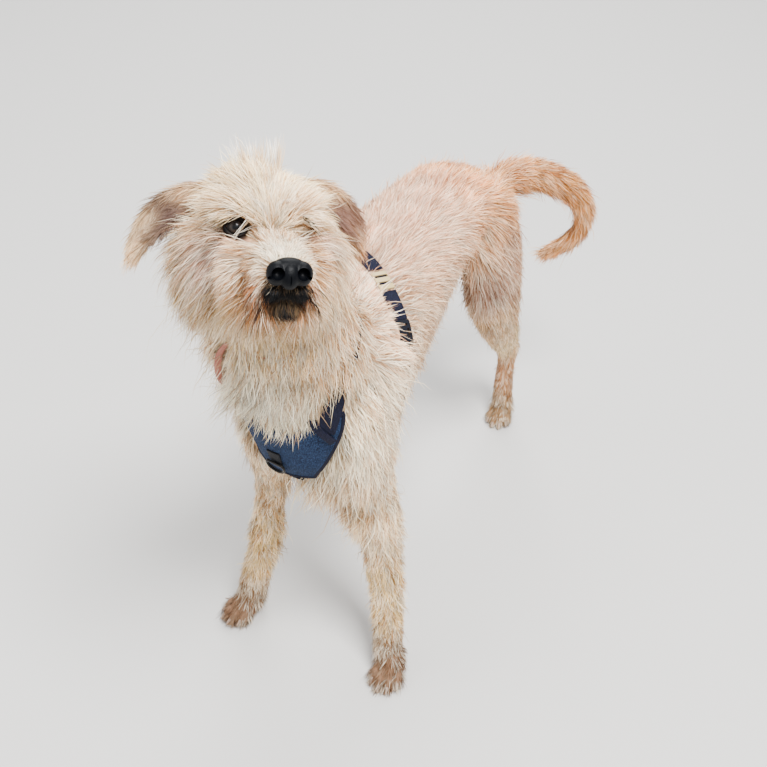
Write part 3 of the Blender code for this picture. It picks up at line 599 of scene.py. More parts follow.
# %% [markdown]
# ## Claws
# A claw is a cone of horn that curves down to a blunt tip. It grows from the end of its toe, and
# each foreleg has one more, the dewclaw, on its inner side.

# %% Eighteen claws
claw_list = []
for place, ahead, scale in claw_roots:
    ahead = ahead.normalized()
    rows = []
    for t, half in ((-0.4, 0.0025), (0.0, 0.0027), (0.35, 0.0022), (0.70, 0.0015), (1.0, 0.0006)):
        spot = place + (ahead * 0.0085 * t - Vector((0, 0, 0.0056)) * t * abs(t)) * scale
        rows.append((*spot, half * scale, half * 1.25 * scale, half * 1.1 * scale))
    claw_list.append(tube("claw", rows, ahead.cross(Vector((0, 0, 1))), points=10, steps=2))
claws = join_all("claws", claw_list)
only(claws)
bpy.ops.object.shade_smooth()
print("claws:", len(claw_list))

# %% [markdown]
# ## The harness lies where the frame has it
# A strap is webbing, cut from a roll and sewn. To lay one, a fan of straight lines is aimed at
# the frame's own strap from outside, and the points where they land make the rows of a finer
# grid. Solidify gives the webbing its thickness and Bevel its worn edges. Each grid also keeps
# its length and width in metres as a map named weave.

# %% Lines aimed at a strap, and a slab laid along them
def loop_lines(centre, normal, width, turn, steps, columns=5):
    """Lines from outside towards the middle of a loop, in a plane across normal."""
    normal = Vector(normal).normalized()
    across = (Vector((1, 0, 0)) - normal * normal.x).normalized()
    rise = normal.cross(across)
    if rise.z < 0:
        rise = -rise
    lines = []
    for k in range(steps + 1):
        angle = math.radians(turn[0] + (turn[1] - turn[0]) * k / steps)
        spoke = across * math.sin(angle) + rise * math.cos(angle)
        sides = [on_body(*centre) + normal * (width / 2 * (2 * c / (columns - 1) - 1))
                 for c in range(columns)]
        lines.append([(side_point + spoke * 0.30, -spoke) for side_point in sides])
    return lines


def reach_to(tree, lines):
    """How far each line goes before it meets the tree, or nan where it misses."""
    return np.array([[(tree.ray_cast(*line)[3] or np.nan) for line in row] for row in lines])


def landed(lines, node, smooths=3, panel=None):
    """How far each line goes before it meets the node, with misses filled and steps evened out.

    Where a line misses the node and meets the panel, it stops a little above the panel.
    """
    reach = reach_to(tree_of([frame["nodes"][node]]), lines)
    if panel:
        below = reach_to(tree_of([frame["nodes"][panel]]), lines)
        reach = np.where(np.isnan(reach), below - 0.0030, reach)
    for row in reach:
        known = np.flatnonzero(~np.isnan(row))
        if len(known):
            row[:] = np.interp(np.arange(len(row)), known, row[known])
    known = np.flatnonzero(~np.isnan(reach[:, 0]))
    for column in reach.T:
        column[:] = np.interp(np.arange(len(reach)), known, column[known])
    for _ in range(smooths):
        tall = np.vstack([reach[:1], reach, reach[-1:]])
        reach = (tall[:-2] + 2 * tall[1:-1] + tall[2:]) / 4
        wide = np.hstack([reach[:, :1], reach, reach[:, -1:]])
        reach = (wide[:, :-2] + 2 * wide[:, 1:-1] + wide[:, 2:]) / 4
    return reach


def slab(name, lines, reach, thick, bevel=0.0006, closed=False):
    """A sheet through the landed points, thickened inwards."""
    rows, columns = len(lines), len(lines[0])
    spots = [line[0] + line[1] * float(reach[i][j]) for i, row in enumerate(lines)
             for j, line in enumerate(row)]
    faces, weave = [], []
    lengths = [0.0]
    for i in range(1, rows + 1):
        lengths.append(lengths[-1] + (spots[(i % rows) * columns] - spots[(i - 1) * columns]).length)
    widths = [(spots[j] - spots[0]).length for j in range(columns)]
    for i in range(rows if closed else rows - 1):
        n = (i + 1) % rows
        for j in range(columns - 1):
            faces.append((i * columns + j, n * columns + j, n * columns + j + 1, i * columns + j + 1))
            weave += [(lengths[i], widths[j]), (lengths[i + 1], widths[j]),
                      (lengths[i + 1], widths[j + 1]), (lengths[i], widths[j + 1])]
    mesh = bpy.data.meshes.new(name)
    mesh.from_pydata([tuple(p) for p in spots], [], faces)
    layer = mesh.uv_layers.new(name="weave")
    layer.data.foreach_set("uv", np.array(weave, float).ravel())
    first = mesh.polygons[0]
    if first.normal.dot(lines[0][0][1]) > 0:
        mesh.flip_normals()
    obj = placed(name, mesh)
    thicken = obj.modifiers.new("thick", "SOLIDIFY")
    thicken.thickness = thick
    thicken.offset = -1.0
    round_off = obj.modifiers.new("worn", "BEVEL")
    round_off.width = bevel
    round_off.segments = 2
    round_off.limit_method = "ANGLE"
    apply_all(obj)
    bpy.ops.object.shade_smooth_by_angle(angle=CREASE)
    return obj


# %% Girth, collar, neck straps, sternum strap and back plate
GIRTH_AT = (-0.018, -0.112, 0.430)
slant, drop = math.radians(34.0), math.radians(8.0)
GIRTH_LEFT = (math.sin(slant) * math.cos(drop), math.cos(slant) * math.cos(drop), -math.sin(drop))
GIRTH_RIGHT = (-GIRTH_LEFT[0], GIRTH_LEFT[1], GIRTH_LEFT[2])
COLLAR_AT, COLLAR_ACROSS = (-0.016, -0.302, 0.612), (0.0, -0.42, 0.907)
COLLAR_TIGHTER = 0.004
NECK_LEAN, PLATE_AT = -0.014, (-0.048, -0.080)
NECK_COVERED = 0.560           # above this height the hair hides the neck straps
NECK_SINK = 0.012              # and they are pressed this much deeper
NECK_STRAP = ((0.043, -0.322, 0.455), (0.060, -0.300, 0.552), (-0.032, -0.120, 0.550))
WEBBING = 0.0020
GIRTH_WIDTH, LOW_GIRTH_WIDTH, NECK_WIDTH, COLLAR_WIDTH = 0.0218, 0.0178, 0.0238, 0.0158
FIVE_ACROSS = (-1, -0.5, 0, 0.5, 1)

worn = {}
for node, normal, width, turn, steps in (
        ("girth_strap_upper", GIRTH_LEFT, GIRTH_WIDTH, (-7, 15.5), 12),
        ("girth_strap_middle", GIRTH_LEFT, GIRTH_WIDTH, (32, 51), 12),
        ("girth_strap_lower", GIRTH_LEFT, LOW_GIRTH_WIDTH, (66, 172), 60),
        ("girth_strap_right", GIRTH_RIGHT, GIRTH_WIDTH, (188, 320), 70)):
    lines = loop_lines(GIRTH_AT, normal, width, turn, steps)
    worn[node] = slab(node + "_webbing", lines, landed(lines, node), WEBBING)

lines = loop_lines(COLLAR_AT, COLLAR_ACROSS, COLLAR_WIDTH, (0, 354), 59)
reach = landed(lines, "collar") + COLLAR_TIGHTER
worn["collar"] = slab("collar_band", lines, reach, 0.0022, closed=True)

for name, s in (("left", 1), ("right", -1)):
    low, mid, top = [Vector((NECK_LEAN + (x - NECK_LEAN) * s, y, z)) for x, y, z in NECK_STRAP]
    top.x = PLATE_AT[0] + 0.016 * s
    normal = (mid - low).cross(top - mid).normalized()
    centre = (low + top) / 2 + Vector((-0.02 * s, 0, -0.03))
    centre -= normal * (centre - low).dot(normal)
    end = 122 if s > 0 else 96
    lines = loop_lines(centre, normal, NECK_WIDTH, (6 * s, end * s), end // 2)
    reach = landed(lines, "neck_strap_" + name, panel="chest_panel" if s > 0 else None)
    heights = np.array([[line[0].z + line[1].z * far for line, far in zip(row, fars)]
                        for row, fars in zip(lines, reach)])
    reach += NECK_SINK * ((heights - NECK_COVERED) / 0.030).clip(0, 1)
    worn["neck_strap_" + name] = slab("neck_webbing_" + name, lines, reach, WEBBING)

lines = [[(on_body(NECK_LEAN + 0.0098 * c, -0.290 + 0.125 * k / 24, 0.05), Vector((0, 0, 1)))
          for c in FIVE_ACROSS] for k in range(25)]
worn["sternum_strap"] = slab("sternum_webbing", lines, landed(lines, "sternum_strap"), WEBBING)
lines = [[(on_body(PLATE_AT[0] + 0.0138 * c, PLATE_AT[1] - 0.0275 + 0.055 * k / 10, 0.80),
           Vector((0, 0, -1))) for c in FIVE_ACROSS] for k in range(11)]
worn["back_plate"] = slab("back_plate_pad", lines, landed(lines, "back_plate"), 0.0045, 0.0016)
print("laid:", list(worn))

# %% The loose end of the collar
COLLAR_END = mm((
    (-58, -354, 582, 3, 1, 1), (-72, -347, 561, 3.6, 1, 1), (-81, -341, 542, 4.1, 1, 1),
    (-87, -335, 519, 4.2, 1, 1), (-88, -331, 501, 3.2, 1, 1), (-87, -330, 493, 1.2, 0.8, 0.8)
))
collar_end = tube("collar_end", body_rows(COLLAR_END), (0.92, 0.40, 0), points=12, square=0.8)
only(collar_end)
bpy.ops.object.shade_smooth()

# %% [markdown]
# ## Slider and clip
# The slider is a moulded plastic ladder: the strap goes up through one slot, over the middle bar
# and down through the other. The clip is a flat moulded buckle with a prong at each side. Both
# are slabs laid like the straps, and Booleans cut their slots.

# %% Slider and clip
SLOT_DEPTH = 0.030


def slotted(name, node, normal, width, turn, slots, thick):
    """A moulded slab on a strap, with slots at (along, across, length, breadth) from its middle."""
    lines = loop_lines(GIRTH_AT, normal, width, turn, 10)
    reach = landed(lines, node)
    piece = slab(name, lines, reach, thick, 0.0012)
    start, run = lines[5][2]
    spot = start + run * float(reach[5][2])
    along = (lines[6][2][0] - lines[4][2][0]).normalized()
    along = (along - run * along.dot(run)).normalized()
    axes = Matrix((along, run.cross(along), run)).transposed().to_4x4()
    for offset, across, length, breadth in slots:
        fresh()
        bpy.ops.mesh.primitive_cube_add(size=1.0)
        cutter = bpy.context.object
        cutter.data.transform(Matrix.Translation(spot) @ axes @ Matrix.Translation((offset, across, 0))
                              @ Matrix.Diagonal((length, breadth, SLOT_DEPTH, 1.0)))
        cut_out(piece, [cutter])
    return piece, lines, reach


worn["girth_slider"], lines, reach = slotted(
    "slider", "girth_slider", GIRTH_LEFT, 0.0212, (17.5, 31),
    ((-0.0056, 0, 0.0044, 0.0190), (0.0056, 0, 0.0044, 0.0190)), 0.0036)
extra = [slab("strap_under_slider", lines, reach + 0.0022, 0.0012, 0.0003)]
worn["girth_clip"], lines, reach = slotted(
    "clip", "girth_clip", GIRTH_LEFT, 0.0258, (51, 66),
    ((0.0, 0.0078, 0.0100, 0.0028), (0.0, -0.0078, 0.0100, 0.0028), (-0.0098, 0, 0.0022, 0.0160)), 0.0050)
print("slider", len(worn["girth_slider"].data.polygons), "clip", len(worn["girth_clip"].data.polygons))

# %% [markdown]
# ## Chest panel and ring
# The panel on the breast is foam between two layers of blue cloth, and a dark tape binds its
# edge. The end of the neck strap is folded and sewn down on it, and a short black loop holds a
# steel ring.

# %% Lines and edges of the panel
PANEL_AXIS = (-0.010, -0.215)
PANEL = ((-53.0, 0.452, 38.0, 0.484), (-56.0, 0.418, 36.5, 0.455), (-55.0, 0.385, 30.0, 0.412),
         (-48.0, 0.352, 18.5, 0.360))


def chest_line(degrees, height):
    turn = math.radians(degrees)
    out = Vector((math.sin(turn), -math.cos(turn), 0))
    return on_body(*PANEL_AXIS, height) + out * 0.4, -out


def panel_spot(across, down):
    """Degrees and height at a share of the panel's width and depth."""
    left, left_height, right, right_height = PANEL_FINE[min(int(down * (len(PANEL_FINE) - 1)),
                                                            len(PANEL_FINE) - 1)]
    sag = -0.010 * math.sin(math.pi * across) * (1 - 0.8 * down)
    return left + (right - left) * across, left_height + (right_height - left_height) * across + sag


def hoop(name, path, radius, flat, up):
    """A cord swept once round a closed path; flat is its height over its width."""
    count, points = len(path), 10
    spots = []
    for i, spot in enumerate(path):
        run = (path[(i + 1) % count] - path[i - 1]).normalized()
        side_way = run.cross(up[i]).normalized()
        high = side_way.cross(run)
        for k in range(points):
            turn = 2 * math.pi * k / points
            spots.append(spot + side_way * radius * math.cos(turn) + high * radius * flat * math.sin(turn))
    obj = mesh_object(name, spots, grid_faces(count, points, around=True, looped=True))
    only(obj)
    bpy.ops.object.shade_smooth()
    return obj


# %% Panel, binding, fold, loop and ring
PANEL_FINE = smooth_rows(PANEL, 8)
DOWN, ACROSS = len(PANEL_FINE), 33
lines = [[chest_line(*panel_spot(c / (ACROSS - 1), d / (DOWN - 1))) for c in range(ACROSS)]
         for d in range(DOWN)]
reach = landed(lines, "chest_panel", 2)
for d in range(DOWN):
    for c in range(ACROSS):
        edge = max(abs(2 * d / (DOWN - 1) - 1), abs(2 * c / (ACROSS - 1) - 1))
        reach[d][c] += 0.0015 * edge**6 - 0.0012 * (1 - edge**4)
panel = slab("panel", lines, reach, 0.0035, 0.0012)
worn["chest_panel"] = panel
border = ([(0, c) for c in range(ACROSS)] + [(d, ACROSS - 1) for d in range(1, DOWN)]
          + [(DOWN - 1, c) for c in range(ACROSS - 2, -1, -1)] + [(d, 0) for d in range(DOWN - 2, 0, -1)])
path = [lines[d][c][0] + lines[d][c][1] * float(reach[d][c] + 0.0012) for d, c in border]
outs = [-lines[d][c][1] for d, c in border]
binding = hoop("binding", path, 0.0030, 0.80, outs)
extra.append(binding)
panel_tree = tree_of([panel])


def patch(name, corners, steps, thick, lift=0.0):
    """A sewn-on piece of webbing over the panel between four (degrees, height) corners."""
    lines = []
    for i in range(steps + 1):
        row = []
        for j in range(steps + 1):
            u, v = i / steps, j / steps
            degrees, height = [(1 - u) * ((1 - v) * corners[0][k] + v * corners[1][k])
                               + u * ((1 - v) * corners[3][k] + v * corners[2][k]) for k in (0, 1)]
            row.append(chest_line(degrees, height))
        lines.append(row)
    reach = reach_to(panel_tree, lines)
    reach = np.where(np.isnan(reach), np.nanmean(reach), reach)
    return slab(name, lines, reach - thick - lift, thick, 0.0004)


FOLD = ((20.5, 0.482), (16.5, 0.478), (30.0, 0.440), (33.5, 0.446))
LOOP = ((-12.5, 0.404), (-2.5, 0.406), (-3.0, 0.380), (-12.0, 0.379))
extra += [patch("fold_tape", FOLD, 8, 0.0030, 0.0022), patch("loop", LOOP, 6, 0.0022)]
RING_POINTS = 40
start, run = chest_line(-8.0, 0.377)
spot = start + run * (panel_tree.ray_cast(start, run)[3] - 0.0050)
side_way = Vector((0, 0, 1)).cross(-run).normalized()
high = ((-run).cross(side_way) - run * 0.25).normalized()
path = []
for k in range(RING_POINTS):
    turn = 2 * math.pi * k / RING_POINTS
    wide, tall = math.cos(turn), min(math.sin(turn), 0.55)
    path.append(spot + side_way * 0.0130 * wide + high * 0.0110 * tall)
worn["ring"] = hoop("steel_ring", path, 0.0018, 1.0, [-run] * RING_POINTS)
print("panel:", len(panel.data.polygons), "binding:", len(binding.data.polygons))

# %% [markdown]
# ## The lie of the coat
# A rough coat changes from place to place: long on the neck and beard, short on the feet, and
# always laid back and down along the body. A list of guides says so. Each guide is a place with
# the way the hair runs there, its length and how far it stands off the skin, and any root takes
# a mix of the guides near it.

# %% Guides: (place, way of the hair, length, degrees off the skin), in millimetres
BODY_GUIDES = [
    ((-12, -150, 545), (0, 1, -0.05), 42, 16), ((-20, -20, 545), (0, 1, 0), 44, 13),
    ((-16, 110, 540), (0, 1, 0), 40, 13), ((0, 205, 525), (0, 0.9, -0.3), 36, 15),
    ((2, 262, 450), (0, 0.3, -1), 32, 20), ((0, -352, 555), (0, -0.05, -1), 64, 28),
    ((0, -375, 645), (0, -0.05, -1), 38, 12), ((0, -360, 605), (0, -0.05, -1), 44, 14),
    ((0, -330, 500), (0, -0.05, -1), 66, 28), ((0, -318, 400), (0, 0.15, -1), 38, 20),
    ((0, -270, 310), (0, 0.6, -0.8), 32, 20), ((0, -100, 280), (0, 0.75, -0.55), 32, 18),
    ((0, 30, 310), (0, 0.7, -0.6), 34, 20), ((0, 120, 375), (0, 0.5, -0.8), 32, 20),
    ((-10, -210, 600), (0, 0.8, -0.6), 40, 24), ((-8, -275, 690), (0, 0.6, -0.8), 38, 26),
    ((-62, -335, 640), (-0.8, -0.1, -1), 72, 50), ((-60, -333, 590), (-0.9, -0.1, -1), 84, 56),
    ((-60, -325, 540), (-0.8, -0.1, -1), 84, 56), ((-76, -296, 490), (-0.55, 0, -1), 74, 50),
    ((-72, -290, 620), (-0.3, 0, -1), 62, 40), ((-92, -250, 440), (-0.25, 0, -1), 52, 38),
    ((-100, -240, 380), (-0.15, 0.05, -1), 44, 34), ((-100, -230, 320), (-0.1, 0.1, -1), 34, 30),
    ((30, -272, 345), (-0.2, -0.1, -1), 92, 44), ((16, -282, 350), (-0.15, -0.1, -1), 88, 44),
    ((44, -258, 305), (-0.35, -0.1, -1), 56, 40), ((-74, -243, 230), (0, 0, -1), 12, 12),
    ((-74, -243, 270), (0, 0, -1), 14, 12), ((-110, -240, 250), (0, 0, -1), 18, 20)
]
MIRRORED_GUIDES = [
    ((85, -150, 470), (0, 0.7, -0.7), 44, 14), ((85, 0, 440), (0, 0.7, -0.7), 44, 12),
    ((75, 100, 460), (0, 0.75, -0.65), 40, 12), ((70, -100, 330), (0, 0.6, -0.8), 42, 16),
    ((70, 20, 350), (0, 0.6, -0.8), 42, 16), ((55, 100, 395), (0, 0.5, -0.85), 40, 16),
    ((60, -120, 530), (0, 0.85, -0.5), 44, 14), ((55, 0, 525), (0, 0.9, -0.45), 44, 12),
    ((62, -285, 430), (0.05, 0.1, -1), 48, 24), ((85, -200, 490), (0.05, 0.5, -1), 42, 22),
    ((88, -200, 410), (0, 0.35, -1), 40, 22), ((56, -300, 600), (0.02, 0.15, -1), 56, 28),
    ((52, -325, 680), (0.02, 0.1, -1), 56, 30), ((62, -240, 560), (0.02, 0.5, -0.85), 48, 24),
    ((92, -240, 350), (0, 0.15, -1), 30, 20), ((62, -285, 340), (0, 0.1, -1), 36, 24),
    ((65, -200, 330), (0, 0.5, -0.85), 42, 28), ((40, -240, 350), (0, 0.2, -1), 32, 20),
    ((88, -270, 230), (0, 0.05, -1), 28, 34), ((86, -212, 240), (0, 0.4, -0.9), 36, 36),
    ((96, -268, 140), (0, 0.02, -1), 22, 34), ((94, -228, 150), (0, 0.3, -0.95), 32, 38),
    ((108, -280, 80), (0, -0.1, -1), 18, 20), ((106, -250, 80), (0, 0.2, -1), 22, 26),
    ((118, -300, 40), (0, -0.7, -0.8), 18, 13), ((118, -262, 30), (0, 0.1, -1), 14, 18)
]
HIND_GUIDES = [
    ((100, 180, 440), (0, 0.35, -0.95), 38, 13), ((55, 270, 420), (0, 0.45, -0.9), 38, 18),
    ((70, 125, 400), (0, 0.45, -0.9), 36, 14), ((105, 190, 360), (0, 0.35, -0.95), 34, 13),
    ((80, 245, 330), (0, 0.3, -0.95), 32, 20), ((85, 155, 300), (0, 0.5, -0.85), 22, 16),
    ((95, 220, 250), (0, 0.55, -0.85), 20, 16), ((80, 268, 240), (0, 0.35, -0.95), 30, 24),
    ((90, 270, 190), (0, 0.6, -0.8), 16, 16), ((80, 322, 165), (0, 0.6, -0.8), 20, 34),
    ((80, 330, 130), (0, 0.1, -1), 15, 22), ((78, 295, 110), (0, -0.02, -1), 11, 16),
    ((78, 325, 80), (0, 0.05, -1), 15, 22), ((76, 275, 35), (0, -0.7, -0.7), 11, 18),
    ((76, 318, 30), (0, 0.1, -1), 15, 22)
]
HIND_RIGHT_STEP = (-0.012, -0.110)   # how far the right hind leg stands from the left one's mirror
HIND_STEP_FROM = 0.42                # the height below which it does
HEAD_GUIDES = [
    ((82, 0, -14), (-0.75, 0, 0.55), 10, 30), ((60, 0, -10), (-0.75, 0, 0.6), 15, 34),
    ((30, 0, -3), (-0.6, 0, 0.75), 22, 38), ((4, 0, 12), (-0.45, 0, 0.85), 28, 34),
    ((-12, -2, 27), (-0.6, -0.05, 0.7), 34, 44), ((-32, -7, 42), (-0.45, -0.15, 0.8), 38, 62),
    ((-34, -20, 38), (-0.3, -0.45, 0.6), 34, 46), ((-40, -34, 30), (-0.4, -0.8, 0.1), 34, 32),
    ((-60, -14, 46), (-0.55, -0.35, 0.4), 32, 40), ((-30, 8, 40), (-0.3, 0.9, 0), 13, 8),
    ((-45, 8, 45), (-0.4, 0.9, 0), 14, 8), ((-62, 8, 47), (-0.4, 0.9, 0), 15, 8),
    ((-34, 16, 39), (-0.3, 0.9, 0.05), 22, 14), ((-40, 28, 35), (-0.2, 0.95, -0.05), 42, 34),
    ((-65, 20, 44), (-0.4, 0.8, 0.05), 38, 28), ((-110, 0, 35), (-0.8, 0, 0.1), 32, 20),
    ((-80, 8, 44), (-0.7, 0.5, 0), 18, 8), ((-130, 0, 0), (-0.6, 0, -0.8), 40, 30),
    ((96, 0, -46), (0.2, 0, -1), 4, 20), ((89, 0, -60), (0.3, 0, -1), 5, 24),
    ((83, 0, -67), (0.45, 0, -1), 9, 36), ((78, 12, -66), (0.4, 0.5, -1), 10, 34),
    ((78, -12, -66), (0.4, -0.5, -1), 10, 34), ((70, 0, -73), (0.15, 0, -1), 24, 40),
    ((56, 0, -74), (0.1, 0, -1), 48, 44), ((20, 0, -74), (-0.1, 0, -1), 62, 46),
    ((-30, 0, -76), (-0.25, 0, -0.9), 66, 44)
]
HEAD_MIRRORED = [
    ((78, 16, -20), (-0.7, 0.65, 0.1), 13, 28), ((55, 19, -18), (-0.65, 0.75, 0), 20, 32),
    ((30, 20, -10), (-0.5, 0.8, -0.1), 26, 36), ((74, 22, -36), (-0.35, 0.7, -0.65), 26, 34),
    ((90, 13, -46), (0.05, 0.6, -0.8), 10, 28), ((80, 18, -56), (-0.05, 0.55, -0.85), 22, 34),
    ((66, 21, -50), (-0.1, 0.45, -0.9), 42, 36), ((45, 27, -36), (-0.35, 0.6, -0.75), 40, 34),
    ((40, 22, -64), (-0.15, 0.35, -0.95), 52, 38), ((10, 32, -40), (-0.35, 0.5, -0.8), 46, 34),
    ((10, 36, -20), (-0.35, 0.6, -0.75), 20, 24), ((-8, 46, -12), (-0.35, 0.5, -0.8), 34, 28),
    ((-10, 34, -64), (-0.3, 0.3, -0.95), 56, 36), ((-35, 56, -20), (-0.35, 0.4, -0.85), 56, 38),
    ((-45, 60, -45), (-0.35, 0.3, -0.9), 60, 40), ((-70, 54, -30), (-0.4, 0.3, -0.85), 58, 38),
    ((-60, 40, -64), (-0.35, 0.2, -0.92), 60, 36), ((8, 14, 14), (-0.3, 0.85, 0.2), 30, 38),
    ((-2, 20, 22), (-0.3, 0.92, -0.05), 36, 36), ((6, 32, 14), (0.05, 0.9, -0.4), 26, 34),
    ((-14, 34, 20), (-0.3, 0.85, -0.4), 44, 36), ((-34, 44, 14), (-0.45, 0.65, -0.6), 52, 36),
    ((-60, 46, 18), (-0.45, 0.75, -0.4), 46, 34), ((-85, 42, 20), (-0.5, 0.7, -0.3), 42, 32),
    ((-95, 45, -15), (-0.5, 0.4, -0.8), 50, 32)
]
HEAD_RIGHT = [   # the right cheek's hair stands out further, as the head leans on it
    ((-40, -62, -46), (-0.2, -0.6, -0.9), 74, 50), ((-65, -58, -34), (-0.25, -0.6, -0.85), 70, 48),
    ((-30, -50, -64), (-0.1, -0.5, -0.95), 74, 48)
]
EAR_HAIR = (0.008, 0.020, 14)   # length in the middle and at the rim, and degrees off the skin


def guide_table():
    """Places, ways, lengths and lifts of every guide, in the frame."""
    rows, heads = [], []
    for place, way, length, lift in BODY_GUIDES:
        rows.append((on_body(*mm(place)), Vector(way), length, lift))
    for place, way, length, lift in MIRRORED_GUIDES + HIND_GUIDES:
        for s in (1, -1):
            x, y, z = mm(place)
            if s < 0 and (place, way, length, lift) in HIND_GUIDES and z < HIND_STEP_FROM:
                share = min(1.0, (HIND_STEP_FROM - z) / 0.12)
                x, y = x - HIND_RIGHT_STEP[0] * share, y + HIND_RIGHT_STEP[1] * share
            rows.append((on_body(x * s, y, z), Vector((way[0] * s, way[1], way[2])), length, lift))
    for place, way, length, lift in HEAD_GUIDES + HEAD_RIGHT:
        heads.append((on_head(*mm(place)), HEAD @ Vector(way), length, lift))
    for (x, y, z), way, length, lift in HEAD_MIRRORED:
        for s in (1, -1):
            heads.append((on_head(*mm((x, y * s, z))), HEAD @ Vector((way[0], way[1] * s, way[2])),
                          length, lift))

    def arrays(table):
        return (np.array([tuple(r[0]) for r in table]), np.array([tuple(r[1].normalized()) for r in table]),
                np.array([mm(r[2]) for r in table]), np.radians([r[3] for r in table]))
    return arrays(rows), arrays(heads)


BODY_TABLE, HEAD_TABLE = guide_table()
TAIL_PATH = smooth_rows(body_rows(TAIL), 8)[:, :3]
EAR_PATHS = np.vstack([rows[:, :3] for rows in ear_paths.values()])
EAR_HALVES = np.concatenate([rows[:, 3] for rows in ear_paths.values()])
EAR_WAYS = np.vstack([np.gradient(rows[:, :3], axis=0) for rows in ear_paths.values()])


def nearest(points, path):
    """Index of the nearest path point, and how far it is."""
    gaps = np.linalg.norm(points[:, None] - path[None], axis=2)
    index = gaps.argmin(1)
    return index, gaps[np.arange(len(points)), index]


def mixed(points, table):
    """The guides' way, length and lift at each point."""
    spots, ways, lengths, lifts = table
    gaps = ((points[:, None] - spots[None])**2).sum(2)
    weight = 1 / (gaps + 0.012**2)**2.2
    weight /= weight.sum(1, keepdims=True)
    return weight @ ways, weight @ lengths, weight @ lifts


def lie_of(points, normals, kinds):
    """For each root: way of the hair along the skin, length, lift and pull of gravity."""
    way, length, lift = mixed(points, BODY_TABLE)
    gravity = np.full(len(points), 0.25)
    head = kinds == SKULL
    if head.any():
        way[head], length[head], lift[head] = mixed(points[head], HEAD_TABLE)
        gravity[head] = 0.22
    ear = kinds == EAR
    if ear.any():
        index, gap = nearest(points[ear], EAR_PATHS)
        rim = (gap / EAR_HALVES[index]).clip(0, 1)**3
        way[ear] = unit(EAR_WAYS[index]) + np.array((0, 0, -0.25))
        length[ear] = EAR_HAIR[0] + (EAR_HAIR[1] - EAR_HAIR[0]) * rim
        lift[ear] = math.radians(EAR_HAIR[2])
    index, gap = nearest(points, TAIL_PATH)
    tail = (kinds == BODY) & (gap < 0.030) & (index > 7)
    if tail.any():
        along = unit(np.gradient(TAIL_PATH, axis=0))[index[tail]]
        below = -normals[tail][:, 2:3]
        way[tail] = along + np.array((0, 0, -0.30)) * (0.6 + 0.8 * np.maximum(below, 0))
        reached = index[tail] / len(TAIL_PATH)
        length[tail] = 0.036 + 0.026 * np.maximum(below[:, 0], 0) * (1 - 0.7 * reached) - 0.012 * reached
        lift[tail] = np.radians(30 - 20 * reached)
        gravity[tail] = 0.55
    way = way - normals * (way * normals).sum(1, keepdims=True)
    flat = np.linalg.norm(way, axis=1) < 0.15
    way[flat] += np.array((0.05, 0.1, -0.5))
    way = way - normals * (way * normals).sum(1, keepdims=True)
    return unit(way), length, lift, gravity


print("guides:", len(BODY_TABLE[0]), "on the body,", len(HEAD_TABLE[0]), "on the head")

# %% [markdown]
# ## Markings
# The dog is sandy cream, paler on the forehead, chest and shoulders, more orange on the rump and
# tail, and brown on the ears and feet. The lips are black and the moustache is stained rust. Some
# blots paint shade and light instead: under the beard, on the cheeks and thighs, in the ear folds
# and at the right eye. The marks are soft blots of colour, each with a place, a reach and a
# strength, and the skin and the coat both ask the same function.

# %% Blots of colour: (place and reach in millimetres, colour, strength)
GROUND = (215, 192, 168)
YELLOWER = np.array((1.0, 1.04, 0.92))
RICHNESS = 1.75   # how much stronger the hues of the hair are than the soft look of the whole coat
BODY_MARKS = [
    ((-18, -140, 550), 70, (240, 212, 198), 3), ((-20, 0, 550), 80, (232, 200, 186), 3),
    ((-12, 120, 540), 60, (220, 188, 176), 3), ((0, 200, 525), 75, (230, 182, 136), 5),
    ((20, 262, 485), 40, (190, 146, 108), 7), ((125, 352, 454), 90, (188, 150, 110), 14),
    ((0, -340, 470), 80, (234, 222, 196), 4), ((0, -370, 620), 70, (226, 212, 186), 3),
    # The three small blots of (150, 136, 122) paint the shadow line under the beard, and the blot at (-45,
    # -352, 615) paints shade on the throat under the right jaw.
    ((-12, -338, 540), 38, (228, 228, 230), 8), ((-30, -342, 572), 7, (150, 136, 122), 6),
    ((-8, -350, 582), 7, (150, 136, 122), 6), ((13, -343, 582), 7, (150, 136, 122), 6),
    ((-45, -352, 615), 26, (176, 158, 128), 3), ((76, 305, 110), 45, (190, 156, 130), 4),
    ((-87, 185, 105), 45, (190, 156, 130), 4)
]
BODY_MARKS_MIRRORED = [
    ((60, -200, 515), 50, (250, 228, 212), 6), ((70, -270, 455), 55, (255, 244, 232), 12),
    ((80, -200, 420), 60, (250, 230, 214), 4), ((85, 10, 470), 60, (217, 195, 182), 2),
    ((70, 10, 350), 60, (219, 192, 174), 2), ((56, -300, 620), 60, (236, 206, 178), 3.5),
    # The blot at (85, 200, 420) paints mauve-grey shade on the thigh, and the one at (75, 130, 400) paints
    # the shade in the crease in front of the thigh.
    ((85, 200, 420), 60, (178, 152, 142), 4.5), ((75, 130, 400), 34, (132, 114, 112), 5),
    ((85, 190, 330), 50, (190, 168, 144), 3), ((85, 260, 210), 60, (206, 188, 156), 3),
    ((80, -240, 280), 60, (232, 214, 192), 4), ((98, -250, 150), 50, (218, 196, 156), 3.5),
    ((120, -290, 20), 42, (112, 96, 86), 12)
]
PAW_MARKS = [
    ((74, 290, 20), 40, (126, 110, 92), 8), ((-89, 145, 20), 40, (126, 110, 92), 8)
]
